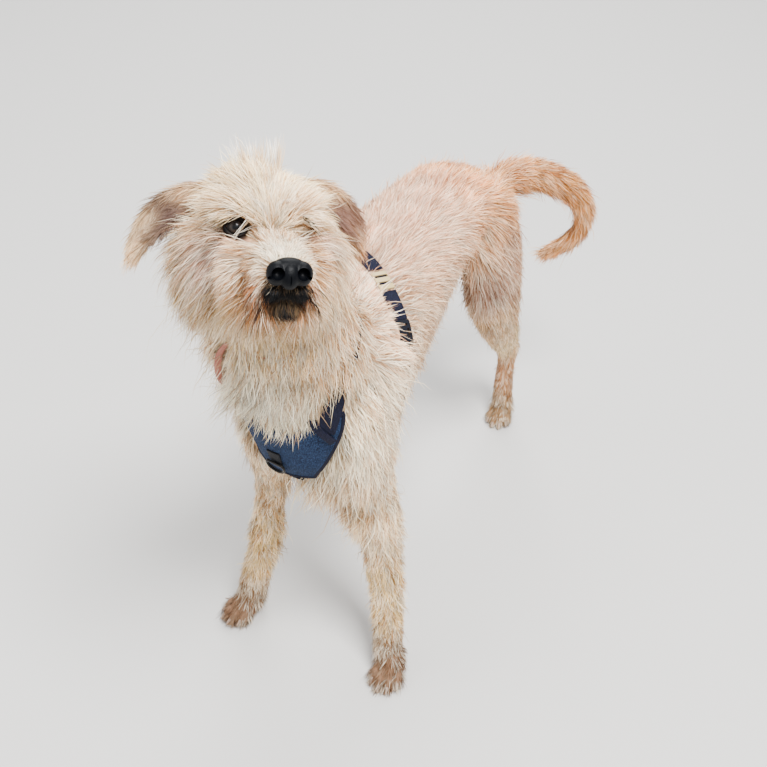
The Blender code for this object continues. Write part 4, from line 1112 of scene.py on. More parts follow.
HEAD_MARKS = [
    ((-5, 0, 24), 26, (252, 236, 214), 6), ((-50, 0, 50), 40, (226, 212, 182), 4),
    ((70, 0, -10), 18, (238, 230, 220), 5), ((35, 0, 0), 18, (232, 216, 202), 4),
    ((12, 14, 14), 10, (204, 172, 150), 4), ((96, 0, -42), 4, (3, 4, 6), 6000),
    ((81, 0, -68), 4.9, (8, 8, 11), 6000), ((93, 0, -49), 4, (3, 4, 6), 6000),
    ((89, 0, -56), 4.6, (3, 4, 6), 6000), ((84, 0, -63), 4.3, (4, 5, 8), 6000),
    ((78, 0, -74), 6.4, (44, 44, 52), 1500), ((66, 0, -82), 10, (150, 140, 132), 5),
    ((6, -33, 0), 4.9, (4, 4, 5), 6000), ((0, -44, -3), 3, (8, 7, 8), 3000),
    # The blot at (9, -24, 7) paints the shade that the brow casts into the right eye's inner upper corner.
    ((9, -24, 7), 3.2, (52, 40, 48), 400), ((6, 34, 2), 5, (34, 26, 26), 60),
    # The blots at (-15, -44, -24) and (-40, -56, -50) paint shade on the right cheek, which is turned from
    # the light, and the one at (-40, 56, -50) paints the lit left cheek paler.
    ((-15, -44, -24), 14, (176, 152, 152), 6), ((-40, -56, -50), 30, (168, 150, 120), 5),
    # The blot at (30, 0, -80) makes the beard yellower and paints the shade under the head into it.
    ((-40, 56, -50), 34, (240, 220, 198), 6), ((30, 0, -80), 35, (172, 154, 124), 6),
    ((-110, 0, 10), 50, (222, 202, 178), 3)
]
HEAD_MARKS_MIRRORED = [
    ((55, 26, -30), 17, (200, 162, 130), 5), ((80, 23, -42), 11, (170, 128, 102), 6),
    ((87, 12.5, -54), 4, (3, 4, 6), 6000), ((92.5, 10, -47), 3.4, (3, 4, 6), 6000),
    ((93, 11, -41), 3, (3, 4, 6), 6000), ((81, 10, -64), 3.6, (6, 7, 10), 4000),
    ((76, 11, -71), 6.5, (64, 58, 58), 40), ((62, 28, -58), 16, (174, 134, 100), 7),
    ((8, 36, -20), 12, (180, 152, 148), 9), ((-8, 46, -8), 12, (176, 152, 146), 5),
    ((0, 30, 20), 14, (224, 202, 176), 4)
]
# The dark blots in the middle of each ear are brown leather darkened further with painted shade in the fold,
# and the pale blots on the upper edge paint the light on the fold.
EAR_MARKS = [
    ((-64, 60, 36), 16, (206, 178, 152), 40), ((-62, 60, 12), 20, (92, 74, 72), 60),
    ((-62, 86, 0), 20, (112, 92, 86), 50), ((-61, 99, -20), 16, (196, 164, 136), 40),
    ((-56, -70, 28), 14, (204, 180, 158), 40), ((-50, -78, 8), 18, (70, 58, 58), 60),
    ((-48, -98, -2), 18, (78, 66, 64), 50), ((-46, -112, 6), 13, (206, 184, 160), 40),
    ((-42, -122, -30), 14, (206, 184, 162), 40)
]


def linear(colour):
    """Linear light values of an sRGB colour given in 0 to 255."""
    c = np.array(colour, float) / 255
    return np.where(c <= 0.04045, c / 12.92, ((c + 0.055) / 1.055)**2.4)


def blots(marks, mirrored, place):
    """The marks, with each mirrored one on both sides, as (place, reach, colour, strength)."""
    rows = [(spot, reach, colour, power) for spot, reach, colour, power in marks]
    for (x, y, z), reach, colour, power in mirrored:
        for s in (1, -1):
            rows.append(((x, y * s, z) if place is on_head else (x * s, y, z), reach, colour, power))
    return [(np.array(place(*mm(spot))), mm(reach), linear(colour), power)
            for spot, reach, colour, power in rows]


BODY_BLOTS = blots(BODY_MARKS + PAW_MARKS, BODY_MARKS_MIRRORED, on_body)
HEAD_BLOTS = blots(HEAD_MARKS, HEAD_MARKS_MIRRORED, on_head)
EAR_BLOTS = blots(EAR_MARKS, [], on_head)


def marking(points, kinds):
    """The coat's colour at each point, with the painted shade and light of some blots, in linear light."""
    ground = linear(GROUND)
    colour = np.tile(ground, (len(points), 1))
    for rows, mask in ((BODY_BLOTS, (kinds == BODY) | (kinds == PAW)),
                       (HEAD_BLOTS, (kinds == SKULL) | (kinds == LID)), (EAR_BLOTS, kinds == EAR)):
        if not mask.any():
            continue
        spots = points[mask]
        total = np.ones(len(spots))
        mix = np.tile(ground, (len(spots), 1))
        for place, reach, tint, power in rows:
            weight = power * np.exp(-((spots - place)**2).sum(1) / reach**2)
            total += weight
            mix += weight[:, None] * tint
        colour[mask] = mix / total[:, None]
    light = colour.mean(1, keepdims=True)
    return light * (colour / light)**RICHNESS * YELLOWER


def cloud(points, size, seed):
    """Soft noise between -1 and 1, from a few crossed waves."""
    picks = np.random.default_rng(seed)
    total = np.zeros(len(points))
    for _ in range(6):
        wave = picks.normal(size=3)
        wave *= 2 * math.pi / (size * np.linalg.norm(wave) * picks.uniform(0.7, 1.4))
        total += np.sin(points @ wave + picks.uniform(0, 6.28))
    return total / 3.2


print("blots:", len(BODY_BLOTS) + len(HEAD_BLOTS) + len(EAR_BLOTS))

# %% [markdown]
# ## Roots
# Each tuft needs a root: a point on the skin with its normal, its place on the skin's unwrap and
# the zone it belongs to. Roots are drawn evenly over the faces. Where two parts of the skin pass
# into each other, the hidden roots are left out.

# %% The skin as arrays
def read(items, label, width, kind=float):
    """One value of each item as the rows of an array."""
    values = np.zeros(len(items) * width, kind)
    items.foreach_get(label, values)
    return values.reshape(-1, width)


mesh = skin.data
mesh.calc_loop_triangles()
tri_verts = read(mesh.loop_triangles, "vertices", 3, np.int32)
tri_loops = read(mesh.loop_triangles, "loops", 3, np.int32)
tri_faces = read(mesh.loop_triangles, "polygon_index", 1, np.int32)[:, 0]
skin_spots, skin_normals = read(mesh.vertices, "co", 3), read(mesh.vertices, "normal", 3)
skin_map = read(mesh.uv_layers["OFBake"].data, "uv", 2)
face_kind = read(mesh.attributes["part"].data, "value", 1, np.int32)[:, 0]
corners = skin_spots[tri_verts]
tri_area = np.linalg.norm(np.cross(corners[:, 1] - corners[:, 0], corners[:, 2] - corners[:, 0]), axis=1) / 2
tri_middle, tri_kind = corners.mean(1), face_kind[tri_faces]


WELL_UNDER = 0.0015


def inside(point, tree):
    """True for a point that lies well under the surface of a tree."""
    spot, normal = tree.find_nearest(point)[:2]
    return (point - spot).dot(normal) < -WELL_UNDER


# %% Zones of the coat
dog = tri_middle - np.array(SHIFT)
ahead_of_eyes = (tri_middle - np.array(HEAD_AT)) @ np.array(HEAD.col[0])
tail_index, tail_gap = nearest(tri_middle, TAIL_PATH)
on_trunk = tri_kind == BODY
x, y, z = dog.T
is_tail = on_trunk & (tail_gap < 0.030) & (tail_index > 7)
is_leg = on_trunk & ~is_tail & (z < np.where(y < 0, 0.325, 0.330)) & ((np.abs(x) > 0.035) | (y > 0.08))
is_leg &= (y < -0.14) | (y > 0.09)
is_neck = on_trunk & (z > 0.515 + 0.35 * (y + 0.22)) & (y < -0.17)
is_chest = on_trunk & ~is_leg & ~is_neck & (y < -0.115)
is_rump = on_trunk & ~is_leg & ~is_tail & (y > 0.115)
is_side = on_trunk & ~(is_tail | is_leg | is_neck | is_chest | is_rump)
on_skull = (tri_kind == SKULL)
face_line = ahead_of_eyes > -0.030
# Zone: its triangles, tufts, steps in a tuft, half width, hairs in a lock, pull of the lock, curl,
# contrast between hairs, and how far the pale hairs are bleached.
ZONES = {
    "face": (on_skull & face_line, 38000, 3, 0.00034, 9, 0.55, 0.28, 1.15, 0.60),
    "crown": (on_skull & ~face_line, 27500, 4, 0.00043, 10, 0.60, 0.34, 1.5, 0.55),
    "neck": (is_neck, 27500, 4, 0.00050, 11, 0.68, 0.42, 1.5, 0.68),
    "chest": (is_chest, 27500, 4, 0.00050, 11, 0.66, 0.42, 1.2, 0.72),
    "side": (is_side, 37500, 3, 0.00050, 9, 0.50, 0.16, 1.2, 0.42),
    "rump": (is_rump, 34000, 3, 0.00050, 9, 0.50, 0.16, 1.2, 0.36),
    "foreleg": (is_leg & (y < 0), 20000, 4, 0.00043, 8, 0.58, 0.60, 1.4, 0.62),
    "hindleg": (is_leg & (y > 0), 23000, 3, 0.00044, 8, 0.50, 0.20, 1.2, 0.45),
    "tail": (is_tail, 12500, 4, 0.00052, 12, 0.64, 0.36, 1.2, 0.30),
    "ear": (tri_kind == EAR, 14000, 3, 0.00036, 7, 0.35, 0.14, 0.6, 0.12),
    "paw": (tri_kind == PAW, 13500, 3, 0.00038, 7, 0.50, 0.20, 1.4, 0.50),
}
print({name: round(float(tri_area[zone[0]].sum() * 1e4)) for name, zone in ZONES.items()}, "cm2")


def roots_in(zone, wanted, picks):
    """Even random points on the zone's triangles, with normals, map places and kinds."""
    index = np.flatnonzero(zone)
    steps = np.cumsum(tri_area[index])
    chosen = index[np.searchsorted(steps, (np.arange(wanted) + picks.random(wanted)) / wanted * steps[-1])]
    a, b = picks.random((2, wanted))
    flip = a + b > 1
    a[flip], b[flip] = 1 - a[flip], 1 - b[flip]
    share = np.stack([1 - a - b, a, b], 1)[:, :, None]
    spots = (skin_spots[tri_verts[chosen]] * share).sum(1)
    normals = unit((skin_normals[tri_verts[chosen]] * share).sum(1))
    places = (skin_map[tri_loops[chosen]] * share).sum(1)
    return spots, normals, places, tri_kind[chosen]


# %% [markdown]
# ## Tufts
# A tuft is a ribbon that narrows to a point. It leaves the skin at the guide's angle, lies down
# along its way and sags a little. Hairs do not grow alone: in each small patch they lean on one
# leading hair and their tips meet in a lock. Where the harness lies, the coat under a strap is
# pressed away, and only a few hairs cross it.

# %% Paths of the hairs
SKIN_TREE = BVHTree.FromPolygons([Vector(p) for p in skin_spots], [tuple(t) for t in tri_verts])
NOSE_TREE = tree_of([nose])


def near_tree(spots):
    """A search tree over single points."""
    near = KDTree(len(spots))
    for i, spot in enumerate(spots):
        near.insert(spot, i)
    near.balance()
    return near


# pieces, the share of hairs that cross them, and the least and most that others run over their edge
GIRTH = ["girth_strap_upper", "girth_strap_middle", "girth_strap_right", "girth_slider", "girth_clip",
         "strap_under_slider"]
GEAR = {"collar": (["collar", "collar_end"], 0.92, 0.004, 0.012),
        "panel": (["chest_panel", "binding"], 0.0, 0.002, 0.052),
        "neck": (["neck_strap_left", "neck_strap_right"], 0.10, 0.002, 0.012),
        "girth": (GIRTH, 0.02, 0.001, 0.007),
        "low": (["girth_strap_lower", "sternum_strap", "back_plate"], 0.90, 0.010, 0.020)}
by_name = {**worn, "collar_end": collar_end, **{piece.name: piece for piece in extra}}
gear_trees = {}
for name, row in GEAR.items():
    pieces = [by_name[piece] for piece in row[0]]
    gear_trees[name] = (tree_of(pieces), near_tree([v.co for piece in pieces for v in piece.data.vertices]))
PANEL_COVER = (-8.0, 24.0)     # the middle and reach, in degrees, of the locks over the panel
# where the loose end of the collar, the parting of the crest, the left ear and the clip show between
# the locks, and how far around
SHOWN = [(on_body(*row[:3]), 0.0085) for row in COLLAR_END[1:5]]
SHOWN += [(on_head(-0.040, 0.015, 0.063), 0.010), (on_head(-0.045, 0.029, 0.060), 0.008)]
SHOWN += [(Vector(ear_paths["left"][k][:3]), 0.010) for k in (12, 18, 24)]
SHOWN += [(on_body(0.073, -0.181, 0.519), 0.010), (on_body(0.066, -0.164, 0.531), 0.009)]
SHOWN_CROSS = 0.05
MOST_LIFT = 0.020
FLOOR_GAP = 0.0012
ROOT_DEPTH = 0.0008
LAID_DOWN = 0.70               # how much of its angle off the skin a hair has lost at its tip
FULL_TURN = 6.28
FIRST_RISE, STEP_RISE = 0.0012, 0.0008   # how far off the skin a leading hair stays, step by step
DOWN_WAY = np.array((0.0, 0.0, -1.0))


def hair_paths(spots, normals, lie, steps, picks, curl):
    """Points along each hair, from just under the skin to its tip."""
    way, length, lift, gravity = lie
    sideways = np.cross(normals, way)
    phase, waves = picks.uniform(0, FULL_TURN, len(spots)), picks.uniform(0.5, 1.3, len(spots))
    pull = DOWN_WAY - normals * np.minimum(normals @ DOWN_WAY, 0)[:, None]
    path = [spots - normals * ROOT_DEPTH]
    for k in range(steps):
        t = (k + 0.5) / steps
        angle = lift * (1.0 - LAID_DOWN * t)
        swing = curl * np.sin(phase + FULL_TURN * waves * t)
        step = (way * np.cos(angle)[:, None] + normals * np.sin(angle)[:, None]
                + sideways * swing[:, None] + pull * (gravity * t)[:, None])
        path.append(path[-1] + unit(step) * (length / steps)[:, None])
    path = np.stack(path, 1)
    path[:, :, 2] = np.maximum(path[:, :, 2], FLOOR_GAP)
    return path


def lifted_out(path):
    """The leading hairs, with any point that dips into the skin set back outside."""
    for line in path:
        for k in range(1, path.shape[1]):
            spot, normal, _, _ = SKIN_TREE.find_nearest(Vector(line[k]))
            depth = (Vector(line[k]) - spot).dot(normal)
            least = FIRST_RISE + STEP_RISE * k
            if depth < least:
                line[k] += np.array(normal) * (least - depth)
    return path


def in_the_open(spots, kinds):
    """False for roots that lie inside another part of the skin."""
    clear = np.ones(len(spots), bool)
    others = {BODY: trees[SKULL] + trees[PAW], SKULL: trees[BODY], PAW: trees[BODY], EAR: trees[SKULL]}
    for i, (spot, kind) in enumerate(zip(spots, kinds)):
        if kind == BODY and 0.08 < spot[2] < 0.60:
            continue
        clear[i] = not any(inside(Vector(spot), tree) for tree in others[kind])
    return clear


# how far the harness is looked for: past a hair's tip, above its root, out from the panel's axis
NEAR_GEAR, ABOVE_ROOT, OUT_OF_PANEL = 0.014, 0.032, 0.060
# and below a point of the hair, further at the girth, and from how high above that point
BELOW, BELOW_GIRTH, FROM_ABOVE = 0.018, 0.028, 0.024
LIFT_OVER = 0.026              # lifted from there, a hair passes 2 mm over the harness
RUN_POWER = 1.7                # most hairs run only a little over the edge


def trimmed(path, normals, locks, shown, picks):
    """Lifts hairs over the harness where they cross it, and says what share of the others stays."""
    share = np.ones(len(path))
    steps = path.shape[1] - 1
    lengths = np.linalg.norm(np.diff(path, axis=1), axis=2).sum(1)
    luck = picks.random(len(path))
    spare = (0.15 + 0.75 * picks.random(locks.max() + 1)[locks] + 0.25 * cloud(path[:, 0], 0.025, 7)
             + 0.15 * picks.normal(0, 1, len(path))).clip(0, 1)
    from_axis = path[:, 0] - np.array(on_body(*PANEL_AXIS, 0))
    from_axis[:, 2] = 0
    turn = np.degrees(np.arctan2(from_axis[:, 0], -from_axis[:, 1]))
    over_panel = 0.25 + 0.75 * np.exp(-((turn - PANEL_COVER[0]) / PANEL_COVER[1])**2)
    from_axis = unit(from_axis)
    for name, (_, cross, least, most) in GEAR.items():
        tree, near = gear_trees[name]
        for i in range(len(path)):
            if near.find(Vector(path[i, 0]))[2] > lengths[i] + NEAR_GEAR:
                continue
            root, normal = Vector(path[i, 0]), Vector(normals[i])
            hidden = name == "neck" and root.z > NECK_COVERED
            if name != "collar" and not hidden and tree.ray_cast(root, normal, ABOVE_ROOT)[0]:
                share[i] = 0
                continue
            if name == "panel" and tree.ray_cast(root, Vector(from_axis[i]), OUT_OF_PANEL)[0]:
                share[i] = 0
                continue
            run = (most - least) * spare[i]**RUN_POWER * (over_panel[i] if name == "panel" else 1.0)
            run = least + run
            for k in range(1, steps + 1):
                spot = Vector(path[i, k])
                over = tree.ray_cast(spot, -normal, BELOW_GIRTH if name == "girth" else BELOW)[0]
                under = tree.ray_cast(spot + normal * FROM_ABOVE, -normal, FROM_ABOVE)[3]
                if over is None and under is None:
                    continue
                rise = 0.0 if under is None else LIFT_OVER - under
                lifted = rise < MOST_LIFT
                if lifted:
                    ramp = np.minimum(np.arange(steps + 1) / k, 1)**0.7
                    path[i] += normals[i] * (rise * ramp)[:, None]
                if not lifted or (luck[i] > cross and not hidden):
                    share[i] = min(share[i], (k - 1) / steps + (run / lengths[i] if lifted else 0))
                break
    for place, reach in shown:
        away = path - np.array(place)
        sight = np.array((VIEWER - place).normalized())
        before = away @ sight
        aside = np.linalg.norm(away - before[:, :, None] * sight, axis=2)
        blocks = (aside < reach) & (before > -0.004) & (before < 0.12)
        first = np.where(blocks.any(1), blocks.argmax(1), steps + 1)
        share = np.where(luck > SHOWN_CROSS, np.minimum(share, (first - 0.6) / steps), share)
    return share


def shortened(path, share):
    """Each hair cut to a share of its length."""
    steps = path.shape[1] - 1
    place = np.arange(steps + 1)[None] * share[:, None]
    low = np.minimum(place.astype(int), steps - 1)
    part = (place - low)[:, :, None]
    rows = np.arange(len(path))[:, None]
    return path[rows, low] * (1 - part) + path[rows, low + 1] * part


# %% Colour, ribbons and their mesh
PATCHY = {"tail": 0.9, "rump": 1.1, "side": 1.2, "hindleg": 0.9}   # how strongly the coat is clouded
MOUSTACHE = mm(((80, 20, -44), (80, -20, -44), (66, 27, -50), (66, -27, -50)))
DARK_HAIR = (40, 30, 26)
DARK_SHARE, DARK_REACH = 0.24, 0.012   # most dark hairs in the moustache, and how far they spread
DARK_MARK = 0.5                # a mark darker than this, summed over its three colours, isn't bleached
DUSK = np.array((0.62, 0.52, 0.50))    # what the clouded patches are multiplied by
PALE, UNDER = linear((252, 240, 216)), np.array((0.66, 0.54, 0.46))
EYE_COVER = {"left": 0.45, "right": 0.002}   # share of the hairs in front of an eye that stay
EYE_WINDOW = (0.0135, 0.0112)   # half width and half height of what the hair leaves free
BEFORE_EYE = 0.004             # hairs nearer to the eyeball's middle than this don't hide it
NOSE_FROM = 0.060              # only hairs rooted ahead of this are near the nose leather
NOSE_GAP = 0.0012


def clear_of_face(path, picks):
    """True for hairs that leave the eyes and the nose leather free."""
    clear = np.ones(len(path), bool)
    luck = picks.random(len(path))
    for name, centre in eye_centres.items():
        away = path - np.array(centre)
        out = np.array((VIEWER - centre).normalized())
        before = (away * out).sum(2)
        across = (away * np.array(HEAD.col[1])).sum(2) / EYE_WINDOW[0]
        along = (away * np.array(HEAD.col[2])).sum(2) / EYE_WINDOW[1]
        blocks = ((across**2 + along**2 < 1) & (before > BEFORE_EYE)).any(1)
        clear &= ~blocks | (luck < EYE_COVER[name])
    ahead = (path[:, 0] - np.array(HEAD_AT)) @ np.array(HEAD.col[0])
    for i in np.flatnonzero(ahead > NOSE_FROM):
        spots = [Vector(spot) for spot in path[i]]
        clear[i] &= not any(inside(spot, NOSE_TREE) or NOSE_TREE.find_nearest(spot)[3] < NOSE_GAP
                            for spot in spots)
    return clear


PATCH = 0.003
MOST_ROLL = 0.9
SKIN_SHARE, TILT = 0.40, 0.35  # how much a ribbon's shading follows the skin, and leans at its edges
# The dark roots are partly the darker undercoat and partly painted shade deep in the coat, near the skin.
TONE_STEPS, TONES = (0, 0.3, 0.7, 1), (0.40, 0.76, 1.05, 1.20)   # dark roots and bright tips
FULL_WIDTH = 0.35              # the share of its length at which a ribbon starts to narrow


def ribbons(name, path, normals, places, colour, half, picks):
    """One mesh of tapered ribbons along the paths."""
    count, rings = path.shape[:2]
    run = unit(np.gradient(path, axis=1))
    side = unit(np.cross(run, normals[:, None]))
    roll = picks.uniform(-MOST_ROLL, MOST_ROLL, count)[:, None, None]
    side = side * np.cos(roll) + np.cross(run, side) * np.sin(roll)
    t = np.linspace(0, 1, rings)
    narrowing = 1.0 - np.maximum(t - FULL_WIDTH, 0)**1.3 * 1.6
    taper = np.where(t < FULL_WIDTH, 0.75 + 0.7 * t, narrowing).clip(0, 1)
    width = half[:, None] * taper[None]
    face = np.cross(side, run)
    soft = SKIN_SHARE * normals[:, None] + (1 - SKIN_SHARE) * face
    left = path - side * width[:, :, None]
    right = path + side * width[:, :, None]
    body_rings = rings - 1
    per = 2 * body_rings + 1
    verts = np.zeros((count, per, 3))
    shade = np.zeros((count, per, 3))
    lefts, rights = slice(0, 2 * body_rings, 2), slice(1, 2 * body_rings, 2)
    verts[:, lefts], verts[:, rights], verts[:, -1] = left[:, :-1], right[:, :-1], path[:, -1]
    shade[:, lefts], shade[:, rights] = unit(soft - TILT * side)[:, :-1], unit(soft + TILT * side)[:, :-1]
    shade[:, -1] = unit(soft)[:, -1]
    tone = np.interp(t, TONE_STEPS, TONES)
    tint = np.ones((count, per, 4))
    tint[:, lefts, :3] = tint[:, rights, :3] = colour[:, None] * tone[None, :-1, None]
    tint[:, -1, :3] = colour * tone[-1]

    quads = [(2 * k, 2 * k + 1, 2 * k + 3, 2 * k + 2) for k in range(body_rings - 1)]
    tip = (2 * body_rings - 2, 2 * body_rings - 1, 2 * body_rings)
    order = np.array([v for quad in quads for v in quad] + list(tip))
    loops = (np.arange(count)[:, None] * per + order[None]).ravel()
    sizes = np.tile([4] * len(quads) + [3], count)
    mesh = bpy.data.meshes.new(name)
    mesh.vertices.add(count * per)
    mesh.vertices.foreach_set("co", verts.ravel())
    mesh.loops.add(len(loops))
    mesh.loops.foreach_set("vertex_index", loops.astype(np.int32))
    mesh.polygons.add(len(sizes))
    mesh.polygons.foreach_set("loop_start", np.concatenate([[0], np.cumsum(sizes)[:-1]]).astype(np.int32))
    mesh.update(calc_edges=True)
    mesh.validate()

    # each ribbon is a patch PATCH across on the skin's unwrap
    local = np.zeros((per, 2))
    local[lefts, 0], local[rights, 0] = -1, 1
    local[:, 1] = np.append(np.repeat(np.linspace(-1, 1, rings)[:-1], 2), 1)
    places = places.clip(PATCH, 1 - PATCH)
    chart = (places[:, None] + local[None] * PATCH / 2)[:, order]
    layer = mesh.uv_layers.new(name="OFBake")
    layer.data.foreach_set("uv", chart.ravel())
    mesh.color_attributes.new("tint", "FLOAT_COLOR", "POINT").data.foreach_set("color", tint.ravel())
    mesh.polygons.foreach_set("use_smooth", np.ones(len(sizes), bool))
    mesh.normals_split_custom_set_from_vertices(shade.reshape(-1, 3))
    return placed(name, mesh), count * (2 * body_rings - 1)


# %% Hairs in locks
STRAY_SHARE, STRAY_LENGTH, STRAY_LIFT, STRAY_PULL = 0.05, 1.30, 0.16, 0.3
GATHER = 0.30                  # how much of its distance from the leader's root a hair keeps
MOST_PULL = 0.95


def leading_hairs(spots, normals, lie, row, picks):
    """The leader of each root, and the path of each leading hair."""
    way, length, lift, gravity = lie
    steps, per_lock, curl = row
    leads = picks.choice(len(spots), max(4, len(spots) // per_lock), replace=False)
    near = near_tree([Vector(spots[lead]) for lead in leads])
    own = np.array([near.find(Vector(p))[1] for p in spots])
    lean = picks.normal(0, 0.20, len(leads))
    lead_way = unit(way[leads] + np.cross(normals[leads], way[leads]) * lean[:, None])
    lead_length = length[leads] * picks.uniform(0.85, 1.25, len(leads))
    lead_lift = lift[leads] * picks.uniform(0.8, 1.25, len(leads))
    lead_lie = (lead_way, lead_length, lead_lift, gravity[leads])
    return leads, own, lifted_out(hair_paths(spots[leads], normals[leads], lead_lie, steps, picks, curl))


def hairs_in_locks(spots, normals, lie, row, lock, picks):
    """Every hair's path, drawn towards its leader; also its lock, and whether it strays."""
    way, length, lift, gravity = lie
    steps, _, curl = row
    count = len(spots)
    leads, own, lead_path = leading_hairs(spots, normals, lie, row, picks)
    stray = picks.random(count) < STRAY_SHARE
    jitter = picks.normal(0, 0.26, count)
    hair_way = unit(way + np.cross(normals, way) * jitter[:, None])
    hair_length = length * np.exp(picks.normal(0, 0.20, count)) * np.where(stray, STRAY_LENGTH, 1.0)
    hair_lift = lift * picks.uniform(0.6, 1.35, count) + np.where(stray, STRAY_LIFT, 0)
    path = hair_paths(spots, normals, (hair_way, hair_length, hair_lift, gravity), steps, picks, curl)
    t = np.linspace(0, 1, steps + 1)
    pull = lock * picks.uniform(0.55, 1.25, count).clip(0, 1) * np.where(stray, STRAY_PULL, 1.0)
    pull = (pull[:, None] * t[None]**1.15).clip(0, MOST_PULL)[:, :, None]
    target = lead_path[own] + ((spots - spots[leads][own]) * GATHER)[:, None]
    return path * (1 - pull) + target * pull, own, stray


WITH_LOCK = 0.55               # the share of hairs that are pale or dark together with their lock
PALE_SHARE, DARK_FROM = 0.42, 0.70     # chances below which a hair is paler, and above which darker
LOCK_SPREAD, CLOUD_SPREAD = 0.16, 0.08


def hair_colours(name, spots, kinds, own, contrast, bleach, picks):
    """Each hair's colour: its mark, made paler or darker, in part together with its lock."""
    count, locks = len(spots), max(4, len(spots) // ZONES[name][4])
    colour = marking(spots, kinds)
    chance = np.where(picks.random(count) < WITH_LOCK, picks.random(locks)[own], picks.random(count))
    pale_side = ((chance < PALE_SHARE) & (colour.sum(1) >= DARK_MARK))[:, None]
    colour = np.where(pale_side, colour * (1 - bleach) + PALE * bleach, colour)
    colour = np.where((chance > DARK_FROM)[:, None], colour * UNDER**contrast, colour)
    tone = 1 + LOCK_SPREAD * contrast * picks.normal(0, 1, locks)[own] + CLOUD_SPREAD * cloud(spots, 0.06, 3)
    colour *= tone[:, None].clip(0.6, 1.4)
    if name in PATCHY:
        dark = (cloud(spots, 0.05, 5) - 0.10).clip(0, 0.6)[:, None] * PATCHY[name]
        colour = colour * (1 - dark) + colour * DUSK * dark
    if name == "face":
        gaps = [np.linalg.norm(spots - np.array(on_head(*spot)), axis=1) for spot in MOUSTACHE]
        whisker = picks.random(count) < DARK_SHARE * np.exp(-(np.min(gaps, axis=0) / DARK_REACH)**2)
        colour = np.where(whisker[:, None], linear(DARK_HAIR), colour)
    return colour


# %% Grow the coat, zone by zone
DENSE = 1.0
FIRST_SEED = 100
SHORTEST = 0.22                # a hair that is cut to less than this share of its length is left out
coat = []
total = 0
for number, (name, zone_row) in enumerate(ZONES.items()):
    zone, wanted, steps, half, per_lock, lock, curl, contrast, bleach = zone_row
    picks = np.random.default_rng(FIRST_SEED + number)
    spots, normals, places, kinds = roots_in(zone, int(wanted * DENSE), picks)
    clear = in_the_open(spots, kinds)
    spots, normals, places, kinds = spots[clear], normals[clear], places[clear], kinds[clear]
    way, length, lift, gravity = lie_of(spots, normals, kinds)
    drift = 0.16 * cloud(spots, 0.05, 1) + 0.14 * cloud(spots, 0.02, 2)
    way = unit(way + np.cross(normals, way) * drift[:, None])
    path, own, stray = hairs_in_locks(spots, normals, (way, length, lift, gravity),
                                      (steps, per_lock, curl), lock, picks)
    share = trimmed(path, normals, own, [] if name == "ear" else SHOWN, picks)
    path = shortened(path, np.maximum(share, 0.02))
    keep = share > SHORTEST
    if name in ("face", "crown"):
        keep &= clear_of_face(path, picks)
    colour = hair_colours(name, spots, kinds, own, contrast, bleach, picks)
    half = half * np.exp(picks.normal(0, 0.18, len(spots))) * np.where(stray, 0.8, 1.0)
    obj, triangles = ribbons("coat_" + name, path[keep], normals[keep], places[keep], colour[keep],
                             half[keep], picks)
    coat.append(obj)
    total += triangles
    print(name, int(keep.sum()), "tufts,", triangles, "triangles")
print("coat:", total, "triangles")

# %% [markdown]
# ## Wisps and whiskers
# A few long hairs give a face its look: the crest that stands up on the crown, pale hairs that
# fall over the eye, dark whiskers and moustache hairs beside the mouth, and dark bundles over the
# hidden left eye that paint its shade between the locks. Each bundle follows a short path laid on
# the head, and its hairs fan out a little towards their tips.

# %% Wisps and whiskers
PALE_WISP, SAND_WISP, DARK_WISP = (250, 240, 222), (222, 190, 150), (24, 18, 16)
